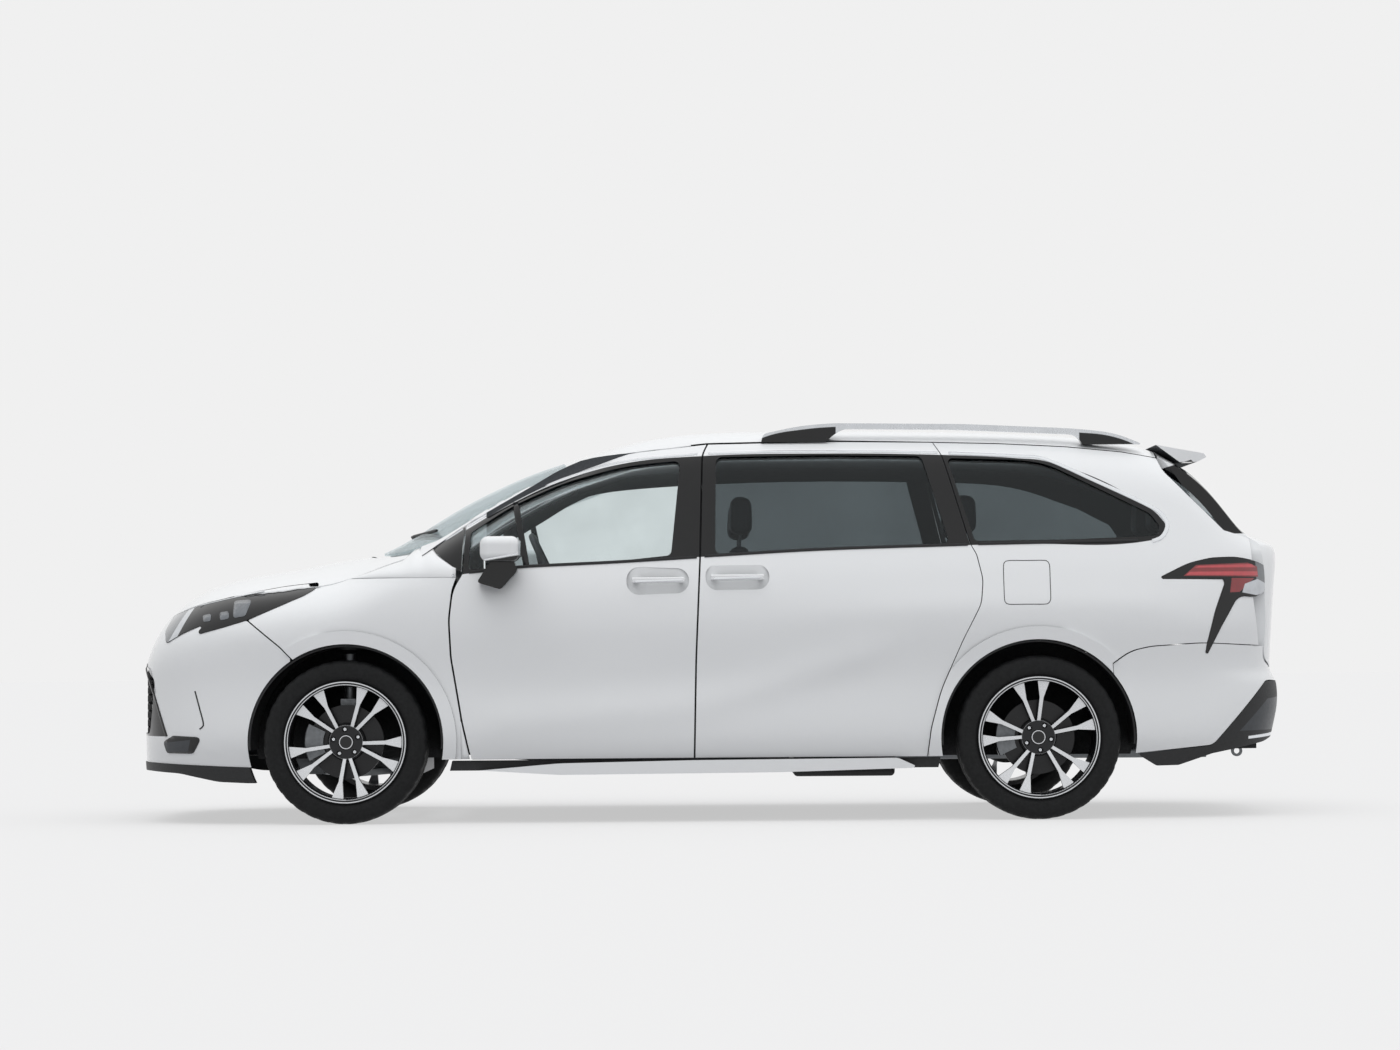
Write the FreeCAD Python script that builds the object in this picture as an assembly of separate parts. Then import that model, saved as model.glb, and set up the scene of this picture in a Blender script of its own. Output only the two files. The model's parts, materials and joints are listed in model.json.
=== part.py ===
import FreeCAD, Part

import math
import os

from FreeCAD import Vector

# Minivan, all lengths in millimetres and all angles in degrees.
# X runs rearwards, Y to the car's right, Z up. The origin is on the floor under the
# middle of the car's length. The left side is built and mirrored where both are alike.

os.makedirs("parts", exist_ok=True)

# Overall sizes
LENGTH = 5175.0
WIDTH = 1993.0
WHEELBASE = 3060.0
FRONT_OVERHANG = 970.0
ROOF_TOP = 1757.0
RAIL_HEIGHT = 24.0
BELT_HEIGHT = 1175.0
SILL_HEIGHT = 283.0
TRACK = 1735.0

FRONT = -LENGTH / 2
REAR = LENGTH / 2
FRONT_AXLE = FRONT + FRONT_OVERHANG
REAR_AXLE = FRONT_AXLE + WHEELBASE
HALF_WIDTH = WIDTH / 2
HALF_TRACK = TRACK / 2

# Wheels
TYRE_RADIUS = 362.0
TYRE_WIDTH = 235.0
RIM_RADIUS = 264.0
RIM_LIP = 8.0
RIM_WALL = 7.0
HUB_RADIUS = 78.0
CAP_RADIUS = 33.0
LUG_CIRCLE = 114.3
LUG_HOLE_RADIUS = 13.0
SPOKE_PAIRS = 5
SPOKE_SPREAD = 26.0
DISC_RADIUS = 164.0
DISC_THICKNESS = 28.0
ARCH_RADIUS = 433.0
ARCH_BAND = 58.0
FLARE = 9.0
STEER_LIMIT = 35.0

KINGPIN_Y = 790.0
STRUT_Y = 700.0
SPOKE_ROOT = 50.0
SPOKE_FLARE = 54.0

# Cabin and small fittings
FLOOR_BOTTOM = 300.0
FLOOR_TOP = 345.0
STEERING_X = -735.0
STEERING_Y = -400.0
STEERING_Z = 1115.0
WHEEL_TILT = 25.0
TOW_EYE_RADIUS = 13.0
PLATE_SPACING_Y = 177.8
PLATE_SPACING_Z = 120.6
PLATE_WIDTH = 305.0
PLATE_Z = 879.0
PLATE_HOLE_RADIUS = 3.0
GATE_HINGE_X = 2008.0

# Walls and gaps
PANEL_GAP = 8.0
SEAM_GAP = 4.0
DOOR_WALL = 95.0
FRAME_WALL = 36.0
SKIN_WALL = 18.0
BUMPER_WALL = 26.0
ROOF_WALL = 32.0
HOOD_WALL = 26.0
GATE_WALL = 60.0
GLASS_WALL = 6.0
GLASS_INSET = 5.0
ROOF_SEAM = 68.0
PILLAR_WIDTH = 30.0


def smooth_max(a, b, blend):
    near = max(blend - abs(a - b), 0.0) / blend
    return max(a, b) + near * near * blend * 0.25


def step(low, high, value):
    t = min(max((value - low) / (high - low), 0.0), 1.0)
    return t * t * (3.0 - 2.0 * t)


def curve(points):
    """A smooth function through a few points, straight beyond both ends."""
    xs = [p[0] for p in points]
    ys = [p[1] for p in points]
    slopes = [(ys[i + 1] - ys[i]) / (xs[i + 1] - xs[i]) for i in range(len(xs) - 1)]
    tangents = [slopes[0]]
    for a, b in zip(slopes, slopes[1:]):
        tangents.append(0.0 if a * b <= 0 else 2.0 * a * b / (a + b))
    tangents.append(slopes[-1])

    def value(x):
        if x <= xs[0]:
            return ys[0] + tangents[0] * (x - xs[0])
        if x >= xs[-1]:
            return ys[-1] + tangents[-1] * (x - xs[-1])
        i = 0
        while x > xs[i + 1]:
            i += 1
        span = xs[i + 1] - xs[i]
        t = (x - xs[i]) / span
        a = (1 + 2 * t) * (1 - t) ** 2 * ys[i] + t * t * (3 - 2 * t) * ys[i + 1]
        b = t * (1 - t) ** 2 * span * tangents[i] - t * t * (1 - t) * span * tangents[i + 1]
        return a + b

    return value


# Plan shape of the widest line, along the length
side_plan = curve([
    (FRONT, HALF_WIDTH - 90),
    (FRONT + 560, HALF_WIDTH - 32),
    (FRONT_AXLE, HALF_WIDTH - FLARE - 2),
    (FRONT_AXLE + 700, HALF_WIDTH - FLARE - 5),
    (0, HALF_WIDTH - FLARE - 3),
    (REAR_AXLE, HALF_WIDTH - FLARE),
    (REAR_AXLE + 560, HALF_WIDTH - 30),
    (REAR, HALF_WIDTH - 90),
])

# How far the side stands inside its widest line, by height
side_inset = curve([
    (150, 75),
    (SILL_HEIGHT, 32),
    (370, 10),
    (450, 12),
    (600, 20),
    (740, 10),
    (860, 0),
    (960, 5),
    (1060, 24),
    (1120, 42),
    (BELT_HEIGHT, 62),
    (1300, 112),
    (1450, 172),
    (1620, 242),
    (1760, 305),
])

# Side view of the car's middle: hood, windscreen and roof
top_line = curve([
    (FRONT - 40, 780),
    (FRONT + 72, 925),
    (FRONT + 108, 957),
    (FRONT + 210, 1025),
    (FRONT + 348, 1080),
    (FRONT + 477, 1112),
    (FRONT + 700, 1145),
    (FRONT + 890, 1182),
    (FRONT + 1000, 1197),
    (-1545, 1200),
    (-1479, 1228),
    (-1325, 1318),
    (-1155, 1422),
    (-1001, 1500),
    (-831, 1574),
    (-670, 1627),
    (-545, 1667),
    (-425, 1698),
    (-253, 1730),
    (-100, 1747),
    (150, ROOF_TOP),
    (600, ROOF_TOP),
    (1100, ROOF_TOP - 8),
    (1500, ROOF_TOP - 24),
    (1900, ROOF_TOP - 62),
    (2016, ROOF_TOP - 85),
    (2250, ROOF_TOP - 140),
])

# Upper edge of the doors in side view
door_top = curve([
    (-1240, 1225),
    (-1090, 1322),
    (-905, 1450),
    (-672, 1560),
    (-392, 1640),
    (-15, 1681),
    (540, 1690),
    (1002, 1683),
])

# Front and rear faces in side view, by height
nose_line = curve([
    (150, FRONT + 25),
    (240, FRONT + 3),
    (450, FRONT),
    (690, FRONT + 1),
    (803, FRONT + 24),
    (922, FRONT + 62),
    (1020, FRONT + 115),
])
tail_line = curve([
    (150, REAR - 120),
    (350, REAR - 38),
    (680, REAR - 36),
    (784, REAR - 30),
    (967, REAR - 18),
    (1100, REAR - 5),
    (1165, REAR),
    (1210, REAR - 12),
    (1240, REAR - 88),
    (1262, REAR - 145),
    (1295, REAR - 178),
    (1589, REAR - 382),
    (1700, REAR - 470),
])


bumper_line = curve([
    (150, REAR - 90),
    (300, REAR - 46),
    (389, REAR - 26),
    (513, REAR),
    (600, REAR - 4),
    (650, REAR - 36),
    (720, REAR - 38),
    (800, REAR - 34),
])


def side_form(x, y, z):
    haunch = 9.0 * step(200, 1300, x) * math.exp(-((z - 860) / 95) ** 2)
    return abs(y) - side_plan(x) + side_inset(z) - haunch


def top_form(x, y, z):
    sweep = 0.00034 * step(-1800, -1450, x) * (1.0 - step(-700, -100, x))
    crown = 105.0 - 77.0 * step(-1750, -1350, x)
    return z - top_line(x - sweep * y * y) + crown * abs(y / 780) ** 2.4


def nose_form(x, y, z):
    return nose_line(z) + 0.00009 * y * y - x


def tail_form(x, y, z):
    return x - tail_line(z) + 0.00009 * y * y


def body_form(x, y, z):
    """Negative inside the car's outer skin, zero on it."""
    side = side_form(x, y, z)
    if x < -800:
        side = smooth_max(side, nose_form(x, y, z), 430)
    if x > 800:
        corner = 330 - 190 * step(1200, 1290, z)
        side = smooth_max(side, tail_form(x, y, z), corner)
    edge = 150 - 40 * step(-1700, -1350, x) + 110 * step(-700, -100, x)
    return smooth_max(side, top_form(x, y, z), edge)


def hit(form, start, way, reach):
    low = 0.0
    high = reach
    for _ in range(23):
        middle = (low + high) / 2
        p = start + way * middle
        if form(p.x, p.y, p.z) < 0:
            low = middle
        else:
            high = middle
    return start + way * low


def outward(form, p):
    d = 2.0
    n = Vector(
        form(p.x + d, p.y, p.z) - form(p.x - d, p.y, p.z),
        form(p.x, p.y + d, p.z) - form(p.x, p.y - d, p.z),
        form(p.x, p.y, p.z + d) - form(p.x, p.y, p.z - d),
    )
    return n.normalize()


def spread(low, high, count):
    return [low + (high - low) * i / (count - 1) for i in range(count)]


def from_middle(x, z):
    return Vector(x, -430, z), Vector(0, -1, 0)


def from_door(x, share):
    """Rays to the front door, from share 0 at its sill to share 1 a little over its top."""
    low = SILL_HEIGHT - 25
    return from_middle(x, low + (door_top(x) + 30 - low) * share)


def from_side(x, share):
    """The same for the sliding door and the quarter, whose top follows the roof."""
    low = SILL_HEIGHT - 25
    return from_middle(x, low + (min(door_top(x), top_line(x) - ROOF_SEAM) + 25 - low) * share)


def from_below(x, y):
    """A fan of rays that also reaches over the hood's and the windscreen's edges."""
    start = Vector(-1750 + (x + 1750) * 0.6, y * 0.6, 600)
    return start, (Vector(x, y, top_line(x) - 60) - start).normalize()


def from_behind(share, z):
    y = share * (HALF_WIDTH - side_inset(z))
    start = Vector(1200, y * 0.7, min(z, 1500))
    return start, (Vector(tail_line(z), y, z) - start).normalize()


def from_front_turn(angle, z):
    a = math.radians(angle)
    return Vector(-1850, 0, z), Vector(-math.cos(a), -math.sin(a), 0)


def from_rear_turn(angle, z):
    a = math.radians(angle)
    return Vector(1700, 0, z), Vector(math.sin(a), -math.cos(a), 0)


def from_quarter(angle, share):
    low = SILL_HEIGHT - 25
    x = min(1700 + 780 * math.tan(math.radians(angle)), 2000)
    return from_rear_turn(angle, low + (top_line(x) - ROOF_SEAM + 28 - low) * share)


def from_roof_turn(x, angle):
    a = math.radians(angle)
    return Vector(x, 0, top_line(x) - 600), Vector(0, -math.sin(a), math.cos(a))


def even_knots(count, degree):
    """Clamped knots and their multiplicities for a row of control points."""
    inner = count - degree - 1
    knots = [float(i) for i in range(inner + 2)]
    return knots, [degree + 1] + [1] * inner + [degree + 1]


def smooth_surface(grid):
    """A smooth surface that a grid of control points pulls into shape."""
    u_degree = min(3, len(grid) - 1)
    v_degree = min(3, len(grid[0]) - 1)
    u_knots, u_mults = even_knots(len(grid), u_degree)
    v_knots, v_mults = even_knots(len(grid[0]), v_degree)
    surface = Part.BSplineSurface()
    surface.buildFromPolesMultsKnots(
        grid, u_mults, v_mults, u_knots, v_knots, False, False, u_degree, v_degree)
    return surface.toShape()


def sheet_solid(outer, inner):
    """A closed wall between two grids of points."""
    faces = [smooth_surface(outer), smooth_surface(inner)]
    faces.append(smooth_surface([outer[0], inner[0]]))
    faces.append(smooth_surface([outer[-1], inner[-1]]))
    faces.append(smooth_surface([[row[0] for row in outer], [row[0] for row in inner]]))
    faces.append(smooth_surface([[row[-1] for row in outer], [row[-1] for row in inner]]))
    shell = Part.makeShell(faces)
    shell.sewShape()
    solid = Part.makeSolid(shell)
    if solid.Volume < 0:
        solid.reverse()
    return solid


def skin(ray, us, vs, wall, proud=0.0, form=body_form):
    """A wall of the body from its outer form inwards. wall is a number or a function of (x, z)."""
    outer = []
    inner = []
    for u in us:
        outer_row = []
        inner_row = []
        for v in vs:
            start, way = ray(u, v)
            p = hit(form, start, way, 2600.0)
            n = outward(form, p)
            depth = wall(p.x, p.z) if callable(wall) else wall
            outer_row.append(p + n * proud)
            inner_row.append(p - n * depth)
        outer.append(outer_row)
        inner.append(inner_row)
    return sheet_solid(outer, inner)


def outline_wire(points, place):
    """A closed wire through corner points (a, b) or (a, b, radius), each radius as an arc."""
    count = len(points)
    edges = []
    last = None
    first = None
    for i in range(count):
        a, b = points[i][0], points[i][1]
        radius = points[i][2] if len(points[i]) > 2 else 0.0
        if radius == 0.0:
            p = place(a, b)
            if last is None:
                first = p
            else:
                edges.append(Part.LineSegment(last, p).toShape())
            last = p
            continue
        before = points[i - 1]
        after = points[(i + 1) % count]
        ua, ub = before[0] - a, before[1] - b
        va, vb = after[0] - a, after[1] - b
        lu, lv = math.hypot(ua, ub), math.hypot(va, vb)
        ua, ub, va, vb = ua / lu, ub / lu, va / lv, vb / lv
        turn = math.acos(max(-1.0, min(1.0, ua * va + ub * vb)))
        back = min(radius / math.tan(turn / 2), 0.49 * lu, 0.49 * lv)
        ma, mb = ua + va, ub + vb
        lm = math.hypot(ma, mb)
        arc_radius = back * math.tan(turn / 2)
        deep = back / math.cos(turn / 2) - arc_radius
        p0 = place(a + ua * back, b + ub * back)
        p1 = place(a + ma / lm * deep, b + mb / lm * deep)
        p2 = place(a + va * back, b + vb * back)
        if last is None:
            first = p0
        elif last.distanceToPoint(p0) > 0.001:
            edges.append(Part.LineSegment(last, p0).toShape())
        edges.append(Part.Arc(p0, p1, p2).toShape())
        last = p2
    if last.distanceToPoint(first) > 0.001:
        edges.append(Part.LineSegment(last, first).toShape())
    return Part.Wire(edges)


def side_prism(points, y0=-1300.0, y1=-1.0):
    """Outline in side view (x, z), as a block from y0 to y1."""
    wire = outline_wire(points, lambda a, b: Vector(a, y0, b))
    return Part.Face(wire).extrude(Vector(0, y1 - y0, 0))


def widened(points, distance, y0=-1300.0, y1=-1.0):
    """Block of a side-view outline that stands out by a distance all round."""
    face = Part.Face(outline_wire(points, lambda a, b: Vector(a, y0, b)))
    return face.makeOffset2D(distance).extrude(Vector(0, y1 - y0, 0))


def plan_prism(points, z0, z1):
    wire = outline_wire(points, lambda a, b: Vector(a, b, z0))
    return Part.Face(wire).extrude(Vector(0, 0, z1 - z0))


def front_prism(points, x0, x1):
    """Outline seen along the car (y, z), as a block from x0 to x1."""
    wire = outline_wire(points, lambda a, b: Vector(x0, a, b))
    return Part.Face(wire).extrude(Vector(x1 - x0, 0, 0))


def box(x0, x1, y0, y1, z0, z1):
    return Part.makeBox(x1 - x0, y1 - y0, z1 - z0, Vector(x0, y0, z0))


def cylinder_y(radius, x, z, y0, y1):
    return Part.makeCylinder(radius, y1 - y0, Vector(x, y0, z), Vector(0, 1, 0))


def mirrored(shape):
    return shape.mirror(Vector(0, 0, 0), Vector(0, 1, 0))


def both(points):
    """A half outline (x, y) for y below 0, closed by its mirror image."""
    other = [(p[0], -p[1]) + tuple(p[2:]) for p in reversed(points)]
    return points + other


def both_seen_along(points):
    """The same for a half outline (y, z) that is seen along the car."""
    return points + [(-p[0],) + tuple(p[1:]) for p in reversed(points)]


def rounded_box(x0, x1, y0, y1, z0, z1, radius):
    block = box(x0, x1, y0, y1, z0, z1)
    return block.makeFillet(radius, block.Edges)


def drop_slivers(shape):
    solids = [s for s in shape.Solids if s.Volume > 2000]
    return solids[0] if len(solids) == 1 else Part.makeCompound(solids)


def save(name, shape):
    shape = drop_slivers(shape) if shape.ShapeType != "Solid" else shape
    shape.exportStep("parts/" + name + ".step")
    box_of = shape.BoundBox
    print(name, len(shape.Solids), shape.isValid(), round(shape.Volume / 1e6, 2),
          [round(v) for v in (box_of.XMin, box_of.XMax, box_of.YMin, box_of.YMax, box_of.ZMin, box_of.ZMax)])


def save_both(name, shape):
    """The left piece and its mirror image, in one node."""
    save(name, Part.makeCompound([shape, mirrored(shape)]))


def save_pair(name, shape):
    save(name + "_left", shape)
    save(name + "_right", mirrored(shape))


# Lines in side view that neighbouring panels share
DOOR_FRONT = [(-1062, SILL_HEIGHT), (-1100, 453, 300), (-1146, 731, 400), (-1154, 898, 300),
              (-1139, 1030, 200), (-1096, 1102, 60), (-1090, 1322)]
SPLIT = [(-11, 1681), (-35, 1631, 200), (-47, 1170, 3000), (-68, 713, 3000), (-78, SILL_HEIGHT)]
SLIDE_REAR = [(1002, 1683), (1038, 1622, 120), (1148, 1220, 600), (1175, 1173, 90),
              (1200, 1060, 150), (1190, 953, 150), (1110, 798, 500), (1009, 572, 600),
              (964, 405, 300), (948, SILL_HEIGHT)]


def shifted(points, dx):
    return [(p[0] + dx,) + tuple(p[1:]) for p in points]


def panel_wall(x, z):
    return DOOR_WALL + (FRAME_WALL - DOOR_WALL) * step(BELT_HEIGHT - 60, BELT_HEIGHT + 10, z)


def front_door_outline():
    top = [(-1090, 1322), (-905, 1450, 900), (-672, 1560, 900), (-392, 1640, 1200), (-15 - PANEL_GAP, 1681)]
    rear = shifted(SPLIT, -PANEL_GAP / 2)
    return DOOR_FRONT + top[1:-1] + rear


def front_window_outline():
    return [(-1072, 1120, 12), (-1066, 1288, 18), (-886, 1405, 900), (-658, 1509, 900), (-384, 1584, 1200),
            (-132, 1607, 25), (-176, 1178, 25), (-432, 1152, 3000), (-840, 1134, 3000)]


def sliding_door_outline():
    front = shifted(SPLIT, PANEL_GAP / 2)
    rear = SLIDE_REAR
    top = [(540, 1690, 4000)]
    return list(reversed(front)) + top + rear


def sliding_window_outline():
    return [(20, 1180, 30), (27, 1622, 30), (502, 1628, 3000), (946, 1620, 30), (1062, 1216, 30), (496, 1203, 4000)]


def front_door():
    us = spread(-1185, 10, 13)
    vs = spread(0, 1, 20)
    body = skin(from_door, us, vs, panel_wall).common(side_prism(front_door_outline()))
    hole = side_prism(front_window_outline())
    panel = body.cut(hole)
    recess = side_prism([(-373, 1128, 55), (-373, 1002, 55), (-97, 1010, 55), (-97, 1118, 55)], -1100, -938)
    panel = panel.cut(recess)
    glass = skin(from_door, us, spread(0.55, 1, 9), GLASS_INSET + GLASS_WALL, -GLASS_INSET).common(hole)
    return panel, glass


def sliding_door():
    us = spread(-110, 1260, 15)
    vs = spread(0, 1, 20)
    body = skin(from_side, us, vs, panel_wall).common(side_prism(sliding_door_outline()))
    hole = side_prism(sliding_window_outline())
    panel = body.cut(hole)
    recess = side_prism([(-24, 1140, 55), (-24, 1020, 55), (258, 1024, 55), (258, 1132, 55)], -1100, -938)
    panel = panel.cut(recess)
    glass = skin(from_side, us, spread(0.55, 1, 9), GLASS_INSET + GLASS_WALL, -GLASS_INSET).common(hole)
    return panel, glass


def handle(x0, x1, z0, z1):
    """Pull bar in front of its finger pocket, on a post at each end."""
    bar = rounded_box(x0, x1, -982, -964, z0, z1, 7)
    posts = [box(x, x + 24, -966, -915, z0 + 4, z1 - 4) for x in (x0 + 4, x1 - 28)]
    return bar.fuse(posts)


def quarter_window_outline():
    return [(1172, 1232, 20), (1060, 1610, 20), (1382, 1600, 2000), (1503, 1582, 500), (1955, 1352, 60),
            (2000, 1292, 40), (1985, 1250, 20), (1600, 1236, 3000)]


def quarter_panel():
    us = spread(-50, 66, 19)
    vs = spread(0, 1, 22)

    def wall(x, z):
        return 70 + (FRAME_WALL - 70) * step(1115, 1185, z)

    slab = skin(from_quarter, us, vs, wall)
    front = shifted(SLIDE_REAR, SEAM_GAP)
    outline = list(reversed(front))
    outline += [(x, top_line(x) - ROOF_SEAM) for x in (1300, 1600, 1850, 2010)]
    outline += [(2026, 1549, 300), (2145, 1420, 600), (2288, 1274, 20), (2412, 1240), (2412, 968)]
    outline += REAR_SEAM + [(1800, SILL_HEIGHT)]
    panel = slab.common(side_prism(outline)).cut(front_prism(gate_outline(PANEL_GAP), 1990, 2800))
    panel = panel.cut(cylinder_y(ARCH_RADIUS, REAR_AXLE, TYRE_RADIUS, -1300, -1))
    hole = side_prism(quarter_window_outline())
    panel = panel.cut(hole)
    sheet = skin(from_quarter, spread(-50, 50, 12), spread(0.6, 1, 8), GLASS_INSET + GLASS_WALL, -GLASS_INSET)
    glass = sheet.common(hole)
    return panel, glass


def fuel_door_outline(gap):
    return [(1293 + gap, 949 + gap, 31), (1498 - gap, 949 + gap, 31), (1498 - gap, 1143 - gap, 31),
            (1293 + gap, 1143 - gap, 31)]


def arch_band(axle, x0, x1, low):
    """The raised lip round a wheel arch, standing proud of the panel it is pressed into."""
    us = spread(x0, x1, 13)
    vs = spread(low - 20, TYRE_RADIUS + ARCH_RADIUS + ARCH_BAND + 30, 9)
    slab = skin(from_middle, us, vs, SKIN_WALL, FLARE)
    ring = cylinder_y(ARCH_RADIUS + ARCH_BAND, axle, TYRE_RADIUS, -1300, -1)
    ring = ring.cut(cylinder_y(ARCH_RADIUS, axle, TYRE_RADIUS, -1301, 0))
    return slab.common(ring).common(box(x0, x1, -1300, -1, low, 1100))


LAMP_OUTLINE = [(-2425, 930, 20), (-2452, 862, 15), (-2436, 805, 10), (-2350, 850, 60), (-2240, 893, 8),
                (-2290, 841, 8), (-2166, 872, 300), (-2057, 903, 300), (-1910, 966, 400), (-1792, 1019, 300),
                (-1723, 1074, 12), (-1910, 1055, 900), (-2093, 1021, 900), (-2240, 987, 500)]
TAIL_LAMP = [(1991, 1066, 4), (2115, 1126, 300), (2220, 1150, 300), (2336, 1154, 300), (2441, 1134, 200),
             (2493, 1108, 60), (2503, 1071, 60), (2481, 1008, 60), (2429, 975, 60), (2338, 983, 60), (2255, 845, 600),
             (2180, 700, 10), (2191, 769, 200), (2229, 915, 600), (2277, 1036, 30), (2270, 1056, 8), (1999, 1058)]
REAR_SEAM = [(2440, 762), (2170, 776, 900), (1942, 762, 300), (1850, 743, 200), (1769, 687)]
HOOD_EDGE = [(-2482, 0), (-2468, -330, 900), (-2425, -560, 500), (-2250, -712, 500), (-1950, -788, 900),
             (-1700, -806, 700), (-1500, -790, 700), (-1312, -742, 60), (-1420, -610, 500), (-1560, -340, 700),
             (-1606, 0)]
FRONT_SEAM = [(-2049, 897), (-1905, 779, 300), (-1860, 733)]
SCREEN_EDGE = [(-1548, 0), (-1500, -340, 700), (-1352, -600, 500), (-1222, -706, 60), (-900, -672, 2000),
               (-640, -634, 60), (-672, -300, 1500), (-684, 0)]


def grow(points, distance, centre):
    """Move an outline's points away from a centre, to leave a gap round it."""
    moved = []
    for p in points:
        a, b = p[0] - centre[0], p[1] - centre[1]
        length = math.hypot(a, b)
        f = (length + distance) / length
        moved.append((centre[0] + a * f, centre[1] + b * f) + tuple(p[2:]))
    return moved


def fender():
    us = spread(-2180, -1095, 14)
    vs = [262, 330, 420, 520, 620, 720, 820, 900, 960, 1010, 1050, 1085]
    slab = skin(from_middle, us, vs, SKIN_WALL)
    outline = [(-1108, SILL_HEIGHT)] + shifted(DOOR_FRONT, -PANEL_GAP)[1:5]
    outline += [(-1118, 1112), (-1240, 1200), (-2000, 1200)]
    outline += [(p[0] + SEAM_GAP, p[1] + SEAM_GAP) + tuple(p[2:]) for p in FRONT_SEAM]
    outline += [(-1617, 500), (-1400, SILL_HEIGHT)]
    return slab, outline


# Front end pieces
def front_end():
    lamp_block = side_prism(LAMP_OUTLINE, -1200, -430)
    lamp_gap = widened(LAMP_OUTLINE, SEAM_GAP / 2, -1200, -430)
    hood_block = plan_prism(both(HOOD_EDGE[1:-1]), 700, 1400)
    hood_gap = plan_prism(both(grow(HOOD_EDGE[1:-1], 6, (-1900, 0))), 700, 1400)

    hood_sheet = skin(from_below, spread(-2570, -1230, 17), spread(-900, 900, 17), HOOD_WALL)
    hood = hood_sheet.common(hood_block).cut(lamp_gap).cut(mirrored(lamp_gap))
    save("hood", hood)

    lamp = skin(from_front_turn, spread(20, 96, 15), [790, 830, 870, 910, 950, 990, 1020, 1045, 1065, 1085], 70)
    lamp = lamp.common(lamp_block)
    lamp = lamp.cut(hood_gap)
    save_both("headlamps", lamp)

    lip_line = [(-1860, 252), (-2054, 254), (-2498, 272), (-2800, 272)]
    seam = FRONT_SEAM + lip_line + [(-2800, 1000), (-2300, 1000)]
    angles = spread(-96, 96, 25)
    heights = [212, 250, 300, 370, 450, 540, 630, 710, 780, 840, 890, 925, 950]
    shell = skin(from_front_turn, angles, heights, BUMPER_WALL)
    shell = shell.common(side_prism(seam, -1300, 1300))
    arch = cylinder_y(ARCH_RADIUS, FRONT_AXLE, TYRE_RADIUS, -1300, 1300)
    shell = shell.cut(arch).cut(lamp_gap).cut(mirrored(lamp_gap)).cut(hood_gap)
    grille_hole = front_prism([(-560, 700, 30), (-700, 640, 40), (-640, 400, 40), (640, 400, 40), (700, 640, 40),
                               (560, 700, 30)], -2800, -2200)
    shell = shell.cut(grille_hole)
    save("front_bumper", shell)

    mesh = skin(from_front_turn, spread(-50, 50, 13), [385, 450, 520, 600, 660, 712], 34, -16)
    mesh = mesh.common(front_prism([(-557, 697, 30), (-697, 639, 40), (-637, 403, 40), (637, 403, 40),
                                    (697, 639, 40), (557, 697, 30)], -2800, -2200))
    save("grille", mesh)

    lip = skin(from_front_turn, spread(-86, 86, 21), [160, 190, 220, 250, 285], 60, 5)
    low = [(-2800, 234), (-2520, 234), (-2369, 226, 300), (-2187, 189, 300), (-2054, 183), (-1860, 183)]
    lip = lip.common(side_prism([(p[0], p[1] - 1) for p in lip_line] + low, -1300, 1300))
    lip = lip.cut(cylinder_y(ARCH_RADIUS + 8, FRONT_AXLE, TYRE_RADIUS, -1300, 1300))
    save("front_lip", lip)

    slab, outline = fender()
    wing = slab.common(side_prism(outline, -1300, -700))
    wing = wing.cut(arch).cut(lamp_gap).cut(hood_gap)
    band = arch_band(FRONT_AXLE, FRONT_AXLE - 330, FRONT_AXLE + ARCH_RADIUS + ARCH_BAND + 5, SILL_HEIGHT)
    band = band.cut(side_prism(grow(front_door_outline(), 8, (-600, 900))))
    band = band.common(side_prism(outline, -1300, -700))
    wing = wing.fuse(band)
    save_both("fenders", wing)


def pillar_trim():
    """The triangular piece between the fender, the windscreen pillar and the door."""
    sheet = skin(from_middle, spread(-1340, -1020, 8), spread(1060, 1360, 8), FRAME_WALL)
    outline = [(-1232, 1206), (-1126, 1120), (-1104, 1112), (-1098, 1316), (-1222, 1226)]
    screen = plan_prism(both(grow(SCREEN_EDGE[1:-1], PILLAR_WIDTH + SEAM_GAP, (-1000, 0))), 1150, 1900)
    save_both("pillar_trims", sheet.common(side_prism(outline)).cut(screen))


def glazing():
    screen = skin(from_below, spread(-1640, -560, 15), spread(-800, 800, 15), GLASS_WALL + 4)
    screen = screen.common(plan_prism(both(SCREEN_EDGE[1:-1]), 900, 1900))
    save("windscreen", screen)


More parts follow.
